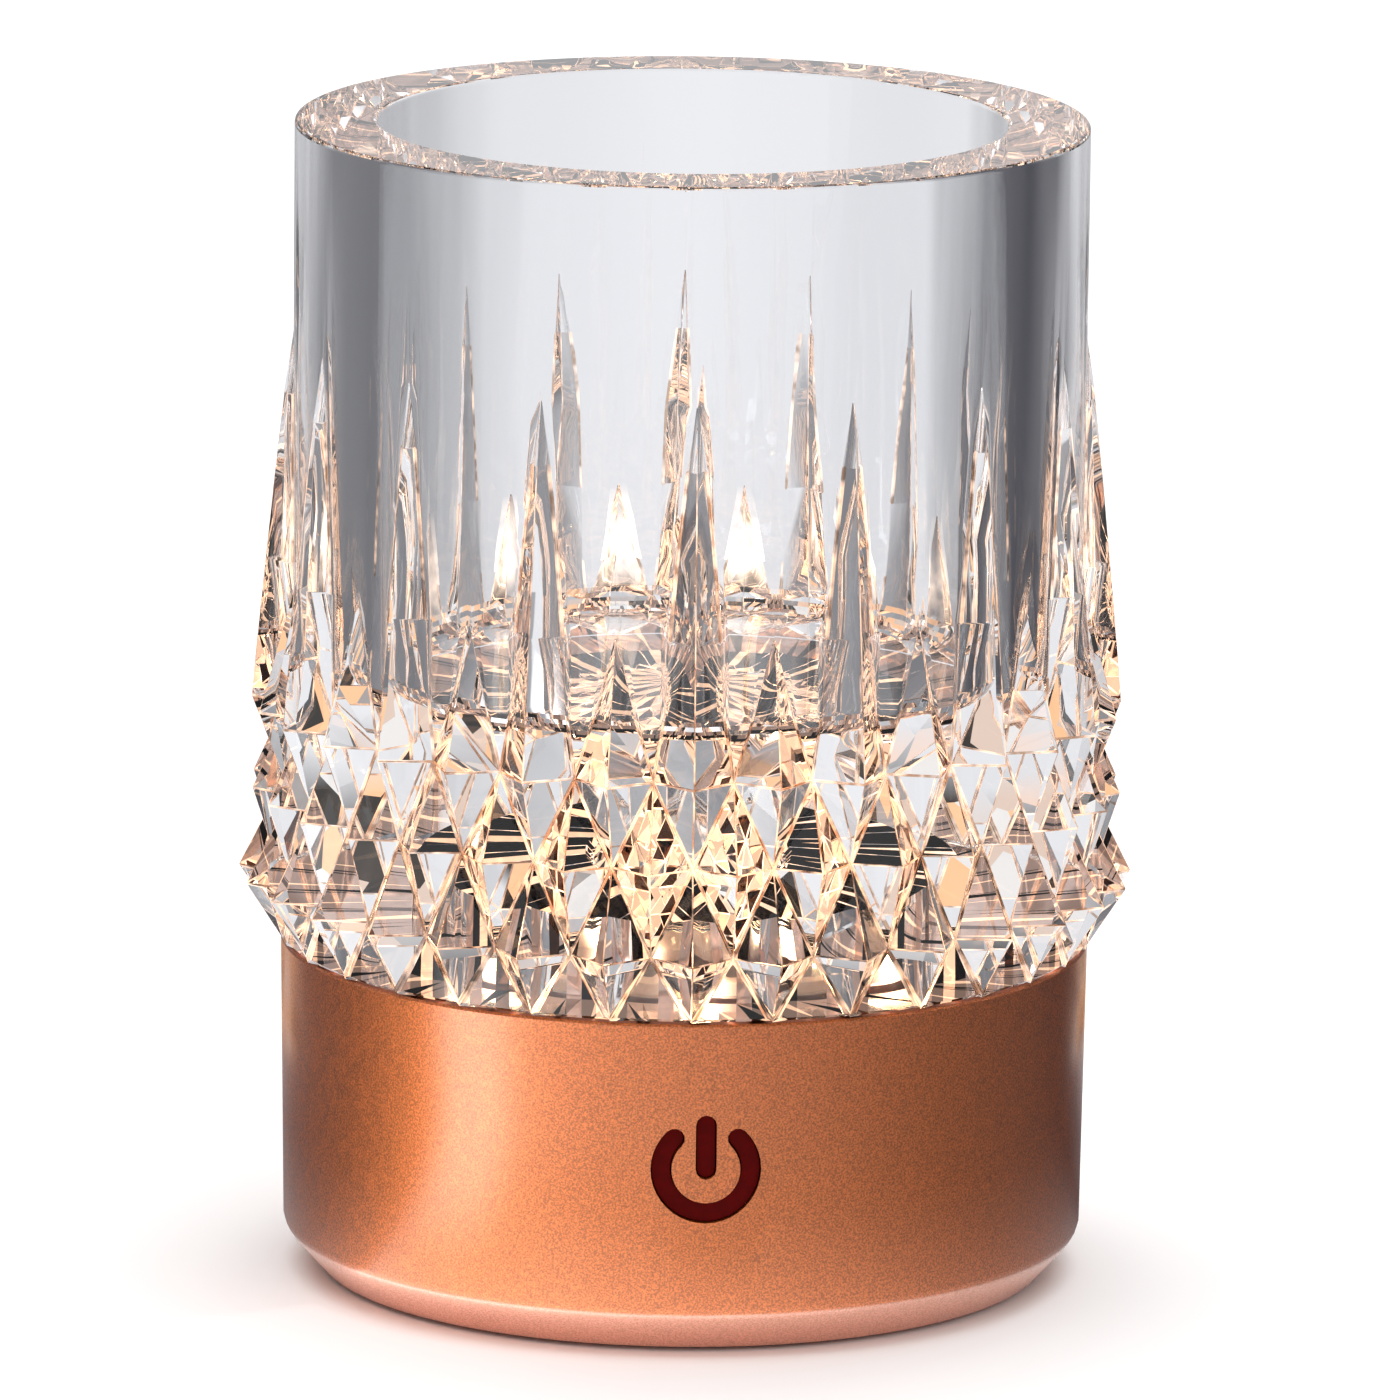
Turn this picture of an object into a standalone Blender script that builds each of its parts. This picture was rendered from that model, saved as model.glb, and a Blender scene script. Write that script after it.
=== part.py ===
"""Cordless crystal table lamp: a cut-crystal vessel standing on a copper-coloured light base.

The lengths below are in millimetres and are turned into metres by MM where a shape is made.
Frame: +Z up, origin at the centre of the underside, power mark facing -Y, charging port facing +Y.
The vessel lifts straight up off the base. Everything else is the base, which comes apart from below.
"""
import math

import bmesh
import bpy
from mathutils import Matrix, Vector

MM = 0.001
MERGE_DISTANCE = 0.000001
GAP = 0.3

# Overall sizes
BASE_HEIGHT = 35.6
BASE_RADIUS = 42.5
BASE_LOW_RADIUS = 42.1
TOTAL_HEIGHT = 122.3

# Crystal vessel: a plain cylinder above, three rows of cut pyramids below, spikes between them
COLUMNS = 32
COLUMN_PITCH = 2 * math.pi / COLUMNS
PATTERN_TURN = math.radians(-92.3)
BODY_RADIUS = 41.45
BORE_RADIUS = 32.8
BORE_FLOOR = 63.0
BORE_FILLET = 3.0
RIM_BEVEL = 0.4
FOOT_PLANE = BASE_HEIGHT + GAP
FOOT_RADIUS = 42.6
FOOT_TIP_RADIUS = 42.85
FOOT_TIP_HALF_WIDTH = 0.45
# Each row: height of the level, radius of the pyramid points, radius of the groove crossings
ROW_LOW = (42.6, 46.97, 42.75)
ROW_MIDDLE = (51.85, 45.75, 42.3)
ROW_HIGH = (60.75, 45.7, 41.8)
# Spike sections above the high row: (height, half width, ridge radius)
TALL_SPIKE = ((67.0, 3.05, 45.15), (75.5, 2.55, 44.3), (84.0, 1.84, 43.45), (93.0, 0.9, 42.45),
              (99.7, 0.1, 41.45))
SHORT_SPIKE = ((67.0, 2.1, 43.9), (75.5, 0.1, 41.45), (84.0, 1.0, 41.45), (93.0, 1.5, 41.45),
               (99.7, 1.8, 41.45))
EVEN_HALF_WIDTH = BODY_RADIUS * COLUMN_PITCH / 4
# Underside: a recess that drops over the light window, with a star cut in its ceiling round a cut dome
RECESS_RADIUS = 29.0
CEILING_RADIUS = 28.8
CEILING = 42.0
STAR_RADIUS = 17.0
STAR_DEPTH = 0.9
DOME_MOUTH_RADIUS = 16.2
# Each dome level: height, middle radius, how far its points stand in or out
DOME = ((43.5, 15.2, 0.5), (46.0, 15.0, 0.9), (49.0, 14.6, 0.9), (52.2, 13.2, 0.9), (54.8, 11.0, 0.8),
        (57.0, 7.6, 0.6), (58.3, 3.8, 0.3))
DOME_TOP = 58.8

# Housing shell
DECK_THICKNESS = 2.2
WALL_INNER_RADIUS = 40.2
WINDOW_HOLE_RADIUS = 28.0
LIP_RADIUS = 36.8
CHAMFER_HEIGHT = 4.75
CHAMFER_BOTTOM = (38.3, 0.5)
GASKET_INNER = 38.7
GASKET_OUTER = 40.3
GASKET_GROOVE_FLOOR = 34.8
BOSS_RADIUS = 2.6
BOSS_RING = 33.2
BOSS_ANGLES = (90, 210, 330)
BOSS_FOOT = 25.5
PILOT_RADIUS = 1.35

# Power mark
MARK_HEIGHT = 20.3
MARK_RADIUS = 4.62
MARK_STROKE = 2.15
MARK_GAP_ANGLE = 45
MARK_BAR_TOP = 5.75
MARK_BAR_BOTTOM = -1.05
MARK_RECESS = 0.35
MARK_FIT = 0.15
INSERT_RADIUS = 7.5
INSERT_PLATE = (37.9, 39.9)

# Optics
WINDOW_TOP = 41.0
WINDOW_RADIUS = 27.6
WINDOW_WALL = 1.2
WINDOW_SKIN = 1.0
WINDOW_FLANGE_RADIUS = 29.8
WINDOW_FLANGE_BOTTOM = 31.4
CLAMP_INNER = 27.0
CLAMP_OUTER = 29.4
LED_COUNT = 8
LED_RING = 24.0
LED_SIZE = (3.5, 2.8, 0.8)
LED_STANDOFF = 0.15
LED_BOARD_BOTTOM = 36.2
LED_BOARD_TOP = 37.5
LED_BOARD_RADIUS = 25.9
PEDESTAL_LEDGE = (22.0, 34.7)
PEDESTAL_WALL = (23.4, 25.4)

# Chassis and battery
CHASSIS_BOTTOM = 23.0
CHASSIS_TOP = 25.2
CHASSIS_RADIUS = 36.0
CHASSIS_WALL = (27.4, 29.2)
CHASSIS_WALL_TOP = 26.7
BATTERY_RADIUS = 9.15
BATTERY_HALF_LENGTH = 32.5
BATTERY_Y = -5.0
BATTERY_Z = 13.0
SADDLE_X = 20.0
SADDLE_WIDTH = 5.0
POST_PLACES = ((23.0, 20.0), (-23.0, 20.0), (19.5, -23.5), (-19.5, -23.5))
POST_RADIUS = 2.6
POST_FOOT = 3.4

# Cover and foot
COVER_RADIUS = 36.5
COVER_TOP = 3.0
COVER_BOTTOM = 0.8
FOOT_INNER = 33.6
FOOT_TOP = 1.3
SCREW_HOLE = 1.5
SCREW_HEAD_HOLE = 2.6
SCREW_HEAD_SEAT = 2.1

# Electronics
BOARD_BOTTOM = 7.0
BOARD_TOP = 8.6
BOARD_HALF_WIDTH = 17.0
BOARD_FRONT = 6.5
BOARD_REAR = 30.0
BOARD_TONGUE_HALF_WIDTH = 6.5
BOARD_TONGUE_REAR = 35.4
STANDOFFS = ((13.5, 10.0), (-13.5, 10.0), (13.5, 26.0), (-13.5, 26.0))
PORT_Z = 10.38
PORT_MOUTH = 37.0
PORT_WIDTH = 8.94
PORT_HEIGHT = 3.2
SLEEVE_OUTER = (14.0, 8.2, 2.4)
SLEEVE_INNER = (12.6, 6.8, 1.6)
LIGHT_PIPE_X = 11.0
LEAD_DIAMETER = 1.3

ROUND_SEGMENTS = 96
INNER_SEGMENTS = 48
SMALL_SEGMENTS = 16

# Colours: name, base colour, roughness, metallic, transmission
FINISHES = {
    "crystal": ((0.96, 0.97, 0.98), 0.02, 0.0, 1.0),
    "copper": ((0.72, 0.33, 0.17), 0.38, 1.0, 0.0),
    "clear_plastic": ((0.96, 0.96, 0.95), 0.05, 0.0, 1.0),
    "frosted": ((0.95, 0.93, 0.88), 0.35, 0.0, 0.6),
    "aluminium": ((0.8, 0.8, 0.8), 0.35, 1.0, 0.0),
    "silicone": ((0.75, 0.75, 0.75), 0.5, 0.0, 0.4),
    "white_plastic": ((0.85, 0.84, 0.8), 0.45, 0.0, 0.0),
    "black_plastic": ((0.03, 0.03, 0.032), 0.5, 0.0, 0.0),
    "mark_red": ((0.09, 0.004, 0.003), 0.3, 0.0, 0.0),
    "rubber": ((0.02, 0.02, 0.02), 0.8, 0.0, 0.0),
    "steel": ((0.55, 0.55, 0.56), 0.3, 1.0, 0.0),
    "circuit_board": ((0.02, 0.12, 0.06), 0.45, 0.0, 0.0),
    "lamp_board": ((0.02, 0.02, 0.02), 0.4, 0.0, 0.0),
    "led": ((1.0, 0.78, 0.35), 0.4, 0.0, 0.0),
    "battery_sleeve": ((0.1, 0.22, 0.42), 0.4, 0.0, 0.0),
    "red_wire": ((0.5, 0.02, 0.02), 0.5, 0.0, 0.0),
    "black_wire": ((0.02, 0.02, 0.02), 0.5, 0.0, 0.0),
}


# ---------------------------------------------------------------- scene and materials

def empty_scene():
    """Remove every object and return the collections for the parts and for the cutters."""
    for obj in list(bpy.data.objects):
        bpy.data.objects.remove(obj, do_unlink=True)
    found = []
    for name in ("crystal_lamp", "cutters"):
        collection = bpy.data.collections.new(name)
        bpy.context.scene.collection.children.link(collection)
        found.append(collection)
    return found


PARTS, CUTTERS = empty_scene()


def finish_material(name):
    """Return the named finish as a Principled material."""
    if name in bpy.data.materials:
        return bpy.data.materials[name]
    color, roughness, metallic, transmission = FINISHES[name]
    material = bpy.data.materials.new(name)
    material.use_nodes = True
    shader = material.node_tree.nodes["Principled BSDF"]
    shader.inputs["Base Color"].default_value = (*color, 1.0)
    shader.inputs["Roughness"].default_value = roughness
    shader.inputs["Metallic"].default_value = metallic
    shader.inputs["Transmission Weight"].default_value = transmission
    return material


def as_part(obj, finish):
    """Give a finished piece its material."""
    obj.data.materials.clear()
    obj.data.materials.append(finish_material(finish))
    return obj


def new_object(name, mesh, collection):
    """Put a mesh in the scene; a cutter is drawn as wire and never rendered."""
    obj = bpy.data.objects.new(name, mesh)
    collection.objects.link(obj)
    if collection is CUTTERS:
        obj.hide_render = True
        obj.display_type = "WIRE"
    return obj


# ---------------------------------------------------------------- shape helpers, in millimetres

def mesh_from(bm, name):
    """Turn a bmesh into a mesh and free it."""
    mesh = bpy.data.meshes.new(name)
    bm.to_mesh(mesh)
    bm.free()
    return mesh


def box(name, low, high, collection=PARTS, bevel=0.0):
    """A box between two corners."""
    bm = bmesh.new()
    bmesh.ops.create_cube(bm, size=1.0)
    size = [(b - a) * MM for a, b in zip(low, high)]
    centre = [(a + b) / 2 * MM for a, b in zip(low, high)]
    bmesh.ops.scale(bm, vec=size, verts=bm.verts)
    obj = new_object(name, mesh_from(bm, name), collection)
    obj.location = centre
    if bevel:
        edge = obj.modifiers.new("Edges", "BEVEL")
        edge.width = bevel * MM
        edge.segments = 1
    return obj


def rod(name, radius, low, high, place, collection=CUTTERS, segments=SMALL_SEGMENTS, axis="Z"):
    """A cylinder from low to high along an axis, at place = the two other coordinates."""
    bm = bmesh.new()
    bmesh.ops.create_cone(bm, cap_ends=True, segments=segments, radius1=radius * MM, radius2=radius * MM,
                          depth=(high - low) * MM)
    middle = (low + high) / 2
    turn = {"Z": Matrix.Identity(4),
            "Y": Matrix.Rotation(math.radians(-90), 4, "X"),
            "X": Matrix.Rotation(math.radians(90), 4, "Y")}[axis]
    centre = {"Z": (place[0], place[1], middle),
              "Y": (place[0], middle, place[1]),
              "X": (middle, place[0], place[1])}[axis]
    obj = new_object(name, mesh_from(bm, name), collection)
    obj.matrix_world = Matrix.Translation(Vector(centre) * MM) @ turn
    return obj


def turned(name, profile, collection=PARTS, segments=INNER_SEGMENTS, place=(0.0, 0.0, 0.0)):
    """Turn (radius, height) points about Z. They run down the outer side; a ring comes back up inside."""
    points = [(radius * MM, 0.0, height * MM) for radius, height in profile]
    edges = [(i, i + 1) for i in range(len(points) - 1)]
    if profile[0][0] > 0:
        edges.append((len(points) - 1, 0))
    mesh = bpy.data.meshes.new(name)
    mesh.from_pydata(points, edges, [])
    obj = new_object(name, mesh, collection)
    obj.location = Vector(place) * MM
    screw = obj.modifiers.new("Turn", "SCREW")
    screw.steps = segments
    screw.render_steps = segments
    screw.use_merge_vertices = True
    screw.merge_threshold = MERGE_DISTANCE
    return obj


def rectangle(width, height, radius, arc_steps=6):
    """The outline of a rectangle with rounded corners, about its centre."""
    outline = []
    for quarter, (sx, sy) in enumerate(((1, 1), (-1, 1), (-1, -1), (1, -1))):
        centre = (sx * (width / 2 - radius), sy * (height / 2 - radius))
        for step in range(arc_steps + 1):
            angle = math.radians(90) * (quarter + step / arc_steps)
            outline.append((centre[0] + radius * math.cos(angle), centre[1] + radius * math.sin(angle)))
    return outline


def slab(name, outline, low, high, collection=PARTS, facing="Y"):
    """An outline extruded from low to high. It faces Y (outline in X and Z) or Z (outline in X and Y)."""
    curve = bpy.data.curves.new(name, "CURVE")
    curve.dimensions = "2D"
    curve.fill_mode = "BOTH"
    curve.extrude = (high - low) / 2 * MM
    spline = curve.splines.new("POLY")
    spline.points.add(len(outline) - 1)
    for point, (u, v) in zip(spline.points, outline):
        point.co = (u * MM, v * MM, 0.0, 1.0)
    spline.use_cyclic_u = True
    middle = (low + high) / 2 * MM
    if facing == "Y":
        place = Matrix.Translation((0.0, middle, 0.0)) @ Matrix.Rotation(math.radians(90), 4, "X")
    else:
        place = Matrix.Translation((0.0, 0.0, middle))
    return curve_as_mesh(name, curve, place, collection)


def curve_as_mesh(name, curve, place, collection):
    """Make a closed mesh object from a curve, with its caps welded on."""
    guide = bpy.data.objects.new(name + "_guide", curve)
    CUTTERS.objects.link(guide)
    guide.matrix_world = place
    bpy.context.view_layer.update()
    evaluated = guide.evaluated_get(bpy.context.evaluated_depsgraph_get())
    mesh = bpy.data.meshes.new_from_object(evaluated)
    bm = bmesh.new()
    bm.from_mesh(mesh)
    bmesh.ops.remove_doubles(bm, verts=bm.verts, dist=MERGE_DISTANCE)
    bmesh.ops.recalc_face_normals(bm, faces=bm.faces)
    bm.to_mesh(mesh)
    bm.free()
    bpy.data.objects.remove(guide, do_unlink=True)
    obj = new_object(name, mesh, collection)
    obj.matrix_world = place
    return obj


def wire(name, route, finish, diameter=LEAD_DIAMETER, steps=4):
    """A round lead along a smooth curve through its route points."""
    points = [Vector(p) for p in route]
    points = [2 * points[0] - points[1]] + points + [2 * points[-1] - points[-2]]
    path = []
    for a, b, c, d in zip(points, points[1:], points[2:], points[3:]):
        for step in range(steps):
            t = step / steps
            path.append(0.5 * (2 * b + (c - a) * t + (2 * a - 5 * b + 4 * c - d) * t ** 2
                               + (3 * b - a - 3 * c + d) * t ** 3))
    path.append(points[-2])
    curve = bpy.data.curves.new(name, "CURVE")
    curve.dimensions = "3D"
    curve.bevel_depth = diameter / 2 * MM
    curve.bevel_resolution = 2
    curve.use_fill_caps = True
    spline = curve.splines.new("POLY")
    spline.points.add(len(path) - 1)
    for point, place in zip(spline.points, path):
        point.co = (*(place * MM), 1.0)
    obj = curve_as_mesh(name, curve, Matrix.Identity(4), PARTS)
    return as_part(obj, finish)


def combine(obj, other, operation):
    """Boolean one object with another."""
    step = obj.modifiers.new(operation.title() + " " + other.name, "BOOLEAN")
    step.operation = operation
    step.solver = "EXACT"
    step.object = other


def cut(obj, *cutters):
    for cutter in cutters:
        combine(obj, cutter, "DIFFERENCE")


def join(obj, *others):
    for other in others:
        combine(obj, other, "UNION")


def around(count, radius):
    """Places evenly spaced on a circle: (angle, x, y)."""
    for i in range(count):
        angle = 2 * math.pi * i / count
        yield angle, radius * math.cos(angle), radius * math.sin(angle)


# ---------------------------------------------------------------- crystal vessel

def crystal_vertex(bm, radius, angle, height):
    angle += PATTERN_TURN
    return bm.verts.new((radius * math.cos(angle) * MM, radius * math.sin(angle) * MM, height * MM))


def spread_ring(bm, height, radius, sections=None):
    """Four vertices a column: left, middle and right of its spike, then the plain glass beside it.

    sections gives the (half width, ridge radius) of the even and the odd columns.
    """
    if sections is None:
        sections = ((EVEN_HALF_WIDTH, radius), (EVEN_HALF_WIDTH, radius))
    ring = []
    for column in range(COLUMNS):
        half, ridge = sections[column % 2]
        next_half = sections[(column + 1) % 2][0]
        middle = column * COLUMN_PITCH
        half_angle = half / BODY_RADIUS
        plain_angle = (COLUMN_PITCH + half_angle - next_half / BODY_RADIUS) / 2
        ring.append(crystal_vertex(bm, radius, middle - half_angle, height))
        ring.append(crystal_vertex(bm, ridge, middle, height))
        ring.append(crystal_vertex(bm, radius, middle + half_angle, height))
        ring.append(crystal_vertex(bm, radius, middle + plain_angle, height))
    return ring


def point_ring(bm, row, points_on_columns):
    """Two vertices a column: on the column, then half a column on. One is a pyramid's point."""
    height, point_radius, groove_radius = row
    ring = []
    for half_column in range(2 * COLUMNS):
        is_point = (half_column % 2 == 0) == points_on_columns
        radius = point_radius if is_point else groove_radius
        ring.append(crystal_vertex(bm, radius, half_column * COLUMN_PITCH / 2, height))
    return ring


def bridge(bm, lower, upper):
    """Quads between two rings of equal size."""
    count = len(lower)
    for i in range(count):
        after = (i + 1) % count
        bm.faces.new((lower[i], lower[after], upper[after], upper[i]))


def lattice_band(bm, lower, upper, points_on_columns_below):
    """Triangles between two point rings, split along the grooves."""
    count = len(lower)
    for i in range(count):
        after = (i + 1) % count
        point_first = (i % 2 == 0) == points_on_columns_below
        if point_first:
            bm.faces.new((lower[i], lower[after], upper[i]))
            bm.faces.new((lower[after], upper[after], upper[i]))
        else:
            bm.faces.new((lower[i], lower[after], upper[after]))
            bm.faces.new((lower[i], upper[after], upper[i]))


def spread_band(bm, points, spread, points_below):
    """Faces between a point ring (points on the columns) and a ring of four vertices a column."""
    def face(*verts):
        bm.faces.new(verts if points_below else verts[::-1])

    for column in range(COLUMNS):
        before = points[2 * column - 1]
        point = points[2 * column]
        node = points[2 * column + 1]
        left, middle, right, plain = spread[4 * column:4 * column + 4]
        next_left = spread[(4 * column + 4) % len(spread)]
        face(before, point, middle, left)
        face(point, node, right, middle)
        face(node, plain, right)
        face(node, next_left, plain)


def crystal_outside(bm):
    """The cut outside, from the foot to the rim. Returns the foot ring and the rim ring."""
    foot_section = (FOOT_TIP_HALF_WIDTH, FOOT_TIP_RADIUS)
    foot = spread_ring(bm, FOOT_PLANE + GAP, FOOT_RADIUS, (foot_section, foot_section))
    low = point_ring(bm, ROW_LOW, True)
    middle = point_ring(bm, ROW_MIDDLE, False)
    high = point_ring(bm, ROW_HIGH, True)
    spread_band(bm, low, foot, points_below=False)
    lattice_band(bm, low, middle, True)
    lattice_band(bm, middle, high, False)
    rings = []
    for (height, *tall), (_, *short) in zip(TALL_SPIKE, SHORT_SPIKE):
        rings.append(spread_ring(bm, height, BODY_RADIUS, (tall, short)))
    spread_band(bm, high, rings[0], points_below=True)
    rings.append(spread_ring(bm, TOTAL_HEIGHT - RIM_BEVEL, BODY_RADIUS))
    for lower, upper in zip(rings, rings[1:]):
        bridge(bm, lower, upper)
    return foot, rings[-1]


def crystal_inside(bm):
    """Profile points of the rim and the bore, from the rim's outer edge to the bore's floor."""
    profile = [(BODY_RADIUS - RIM_BEVEL, TOTAL_HEIGHT), (BORE_RADIUS + RIM_BEVEL, TOTAL_HEIGHT),
               (BORE_RADIUS, TOTAL_HEIGHT - RIM_BEVEL)]
    for step in range(3):
        angle = math.radians(45 * step)
        profile.append((BORE_RADIUS - BORE_FILLET * (1 - math.cos(angle)),
                        BORE_FLOOR + BORE_FILLET * (1 - math.sin(angle))))
    return [spread_ring(bm, height, radius) for radius, height in profile]


def even_ring(bm, count, height, radius, swing=0.0, rise=0.0):
    """Evenly spaced vertices; every other one stands in by swing and up by rise."""
    ring = []
    first = -COLUMN_PITCH / 4 if count == 4 * COLUMNS else 0.0
    for i in range(count):
        odd = i % 2
        ring.append(crystal_vertex(bm, radius + (-swing if odd else swing), first + 2 * math.pi * i / count,
                                   height + rise * odd))
    return ring


def halve(bm, outer, inner):
    """Faces from a ring to one with half as many vertices."""
    for i, near in enumerate(inner):
        after = inner[(i + 1) % len(inner)]
        far = [outer[(2 * i + step) % len(outer)] for step in range(3)]
        bm.faces.new((near, far[0], far[1]))
        bm.faces.new((near, far[1], far[2]))
        bm.faces.new((near, far[2], after))


def cap(bm, ring, height):
    """Close a ring with a fan to a vertex on the axis."""
    centre = bm.verts.new((0.0, 0.0, height * MM))
    for i, vert in enumerate(ring):
        bm.faces.new((vert, ring[(i + 1) % len(ring)], centre))


def crystal_underside(bm, foot):
    """From the foot's edge: the flat foot, the recess, the star in its ceiling and the cut dome."""
    around_star = 4 * COLUMNS
    rings = [foot, spread_ring(bm, FOOT_PLANE, FOOT_RADIUS - GAP),
             even_ring(bm, around_star, FOOT_PLANE, RECESS_RADIUS),
             even_ring(bm, around_star, CEILING, CEILING_RADIUS),
             even_ring(bm, around_star, CEILING, STAR_RADIUS, rise=STAR_DEPTH)]
    for outer, inner in zip(rings, rings[1:]):
        bridge(bm, inner, outer)
    mouth = even_ring(bm, 2 * COLUMNS, CEILING, DOME_MOUTH_RADIUS)
    halve(bm, rings[-1], mouth)
    levels = [mouth]
    for number, (height, radius, swing) in enumerate(DOME):
        levels.append(even_ring(bm, 2 * COLUMNS, height, radius, -swing if number % 2 == 0 else swing))
    for number, (lower, upper) in enumerate(zip(levels, levels[1:])):
        lattice_band(bm, lower, upper, number % 2 == 0)
    cap(bm, levels[-1], DOME_TOP)


def crystal_vessel():
    bm = bmesh.new()
    foot, rim = crystal_outside(bm)
    inside = [rim] + crystal_inside(bm)
    for outer, inner in zip(inside, inside[1:]):
        bridge(bm, outer, inner)
    cap(bm, inside[-1], BORE_FLOOR)
    crystal_underside(bm, foot)
    bmesh.ops.triangulate(bm, faces=bm.faces)
    bmesh.ops.recalc_face_normals(bm, faces=bm.faces)
    as_part(new_object("crystal_vessel", mesh_from(bm, "crystal_vessel"), PARTS), "crystal")


# ---------------------------------------------------------------- housing

def mark_outlines(margin=0.0):
    """The power mark in X and Z: a ring that is open at the top, and a bar. margin narrows the stroke."""
    half = MARK_STROKE / 2 - margin
    steps = 30
    first = math.radians(90 + MARK_GAP_ANGLE)
    sweep = math.radians(360 - 2 * MARK_GAP_ANGLE)

    def arc(centre, radius, start, turn, count):
        return [(centre[0] + radius * math.cos(start + turn * i / count),
                 centre[1] + radius * math.sin(start + turn * i / count)) for i in range(count + 1)]

    def end(angle):
        return (MARK_RADIUS * math.cos(angle), MARK_HEIGHT + MARK_RADIUS * math.sin(angle))

    last = first + sweep
    ring = arc((0.0, MARK_HEIGHT), MARK_RADIUS + half, first, sweep, steps)
    ring += arc(end(last), half, last, math.pi, 6)[1:-1]
    ring += arc((0.0, MARK_HEIGHT), MARK_RADIUS - half, last, -sweep, steps)
    ring += arc(end(first), half, first + math.pi, math.pi, 6)[1:-1]
    top = MARK_HEIGHT + MARK_BAR_TOP - MARK_STROKE / 2
    bottom = MARK_HEIGHT + MARK_BAR_BOTTOM + MARK_STROKE / 2
    bar = arc((0.0, top), half, 0.0, math.pi, 6) + arc((0.0, bottom), half, math.pi, math.pi, 6)
    return ring, bar


def housing_shell():
    deck_bottom = BASE_HEIGHT - DECK_THICKNESS
    groove = (GASKET_INNER - GAP, GASKET_OUTER + GAP)
    shell = turned("housing_shell", [
        (WINDOW_HOLE_RADIUS, BASE_HEIGHT), (groove[0], BASE_HEIGHT), (groove[0], GASKET_GROOVE_FLOOR),
        (groove[1], GASKET_GROOVE_FLOOR), (groove[1], BASE_HEIGHT), (BASE_RADIUS - 0.25, BASE_HEIGHT),
        (BASE_RADIUS, BASE_HEIGHT - 0.25), (BASE_LOW_RADIUS, CHAMFER_HEIGHT + 0.7),
        (BASE_LOW_RADIUS - 0.2, CHAMFER_HEIGHT), (BASE_LOW_RADIUS - 0.6, CHAMFER_HEIGHT - 0.65),
        CHAMFER_BOTTOM, (LIP_RADIUS, CHAMFER_BOTTOM[1]), (LIP_RADIUS, COVER_TOP + 0.2),
        (WALL_INNER_RADIUS, COVER_TOP + 3.4), (WALL_INNER_RADIUS, deck_bottom),
        (WINDOW_HOLE_RADIUS, deck_bottom)], segments=ROUND_SEGMENTS)
    for number, degrees in enumerate(BOSS_ANGLES, 1):
        place = Vector((BOSS_RING, 0)) @ Matrix.Rotation(-math.radians(degrees), 2)
        join(shell, rod(f"boss_{number}", BOSS_RADIUS, BOSS_FOOT, deck_bottom + 0.8, place))
        cut(shell, rod(f"boss_pilot_{number}", PILOT_RADIUS, BOSS_FOOT - 1, deck_bottom - 1, place))
    for name, outline in zip(("mark_ring_cut", "mark_bar_cut"), mark_outlines()):
        cut(shell, slab(name, outline, -BASE_RADIUS - 2, -WALL_INNER_RADIUS + 3, CUTTERS))
    width, height, radius = SLEEVE_OUTER
    port = [(x, z + PORT_Z) for x, z in rectangle(width + 0.4, height + 0.4, radius)]
    cut(shell, slab("port_cut", port, WALL_INNER_RADIUS - 3, BASE_RADIUS + 2, CUTTERS),
        rod("light_pipe_cut", 1.3, WALL_INNER_RADIUS - 4, BASE_RADIUS + 2, (LIGHT_PIPE_X, PORT_Z), axis="Y"))
    as_part(shell, "copper")


def seat_gasket():
    top = FOOT_PLANE - 0.15
    bottom = GASKET_GROOVE_FLOOR + GAP
    as_part(turned("seat_gasket", [(GASKET_INNER, top), (GASKET_OUTER, top), (GASKET_OUTER, bottom),
                                   (GASKET_INNER, bottom)]), "silicone")


def touch_insert():
    """The dark red plate behind the front wall, with the mark's ring and bar raised into its cut-outs."""
    inner, outer = INSERT_PLATE
    height = (MARK_HEIGHT - 10, MARK_HEIGHT + 10)
    plate = turned("touch_insert", [(inner, height[1]), (outer, height[1]), (outer, height[0]),
                                    (inner, height[0])], segments=ROUND_SEGMENTS)
    combine(plate, rod("insert_outline", INSERT_RADIUS, -BASE_RADIUS, -30, (0, MARK_HEIGHT), segments=48,
                       axis="Y"), "INTERSECT")
    front = BASE_LOW_RADIUS - MARK_RECESS
    face = turned("mark_face", [(0, height[1]), (front, height[1]), (front, height[0]), (0, height[0])],
                  CUTTERS, ROUND_SEGMENTS)
    for name, outline in zip(("mark_ring", "mark_bar"), mark_outlines(MARK_FIT)):
        raised = slab(name, outline, -BASE_RADIUS - 2, -outer + 1.3, CUTTERS)
        combine(raised, face, "INTERSECT")
        join(plate, raised)
    as_part(plate, "mark_red")


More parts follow.
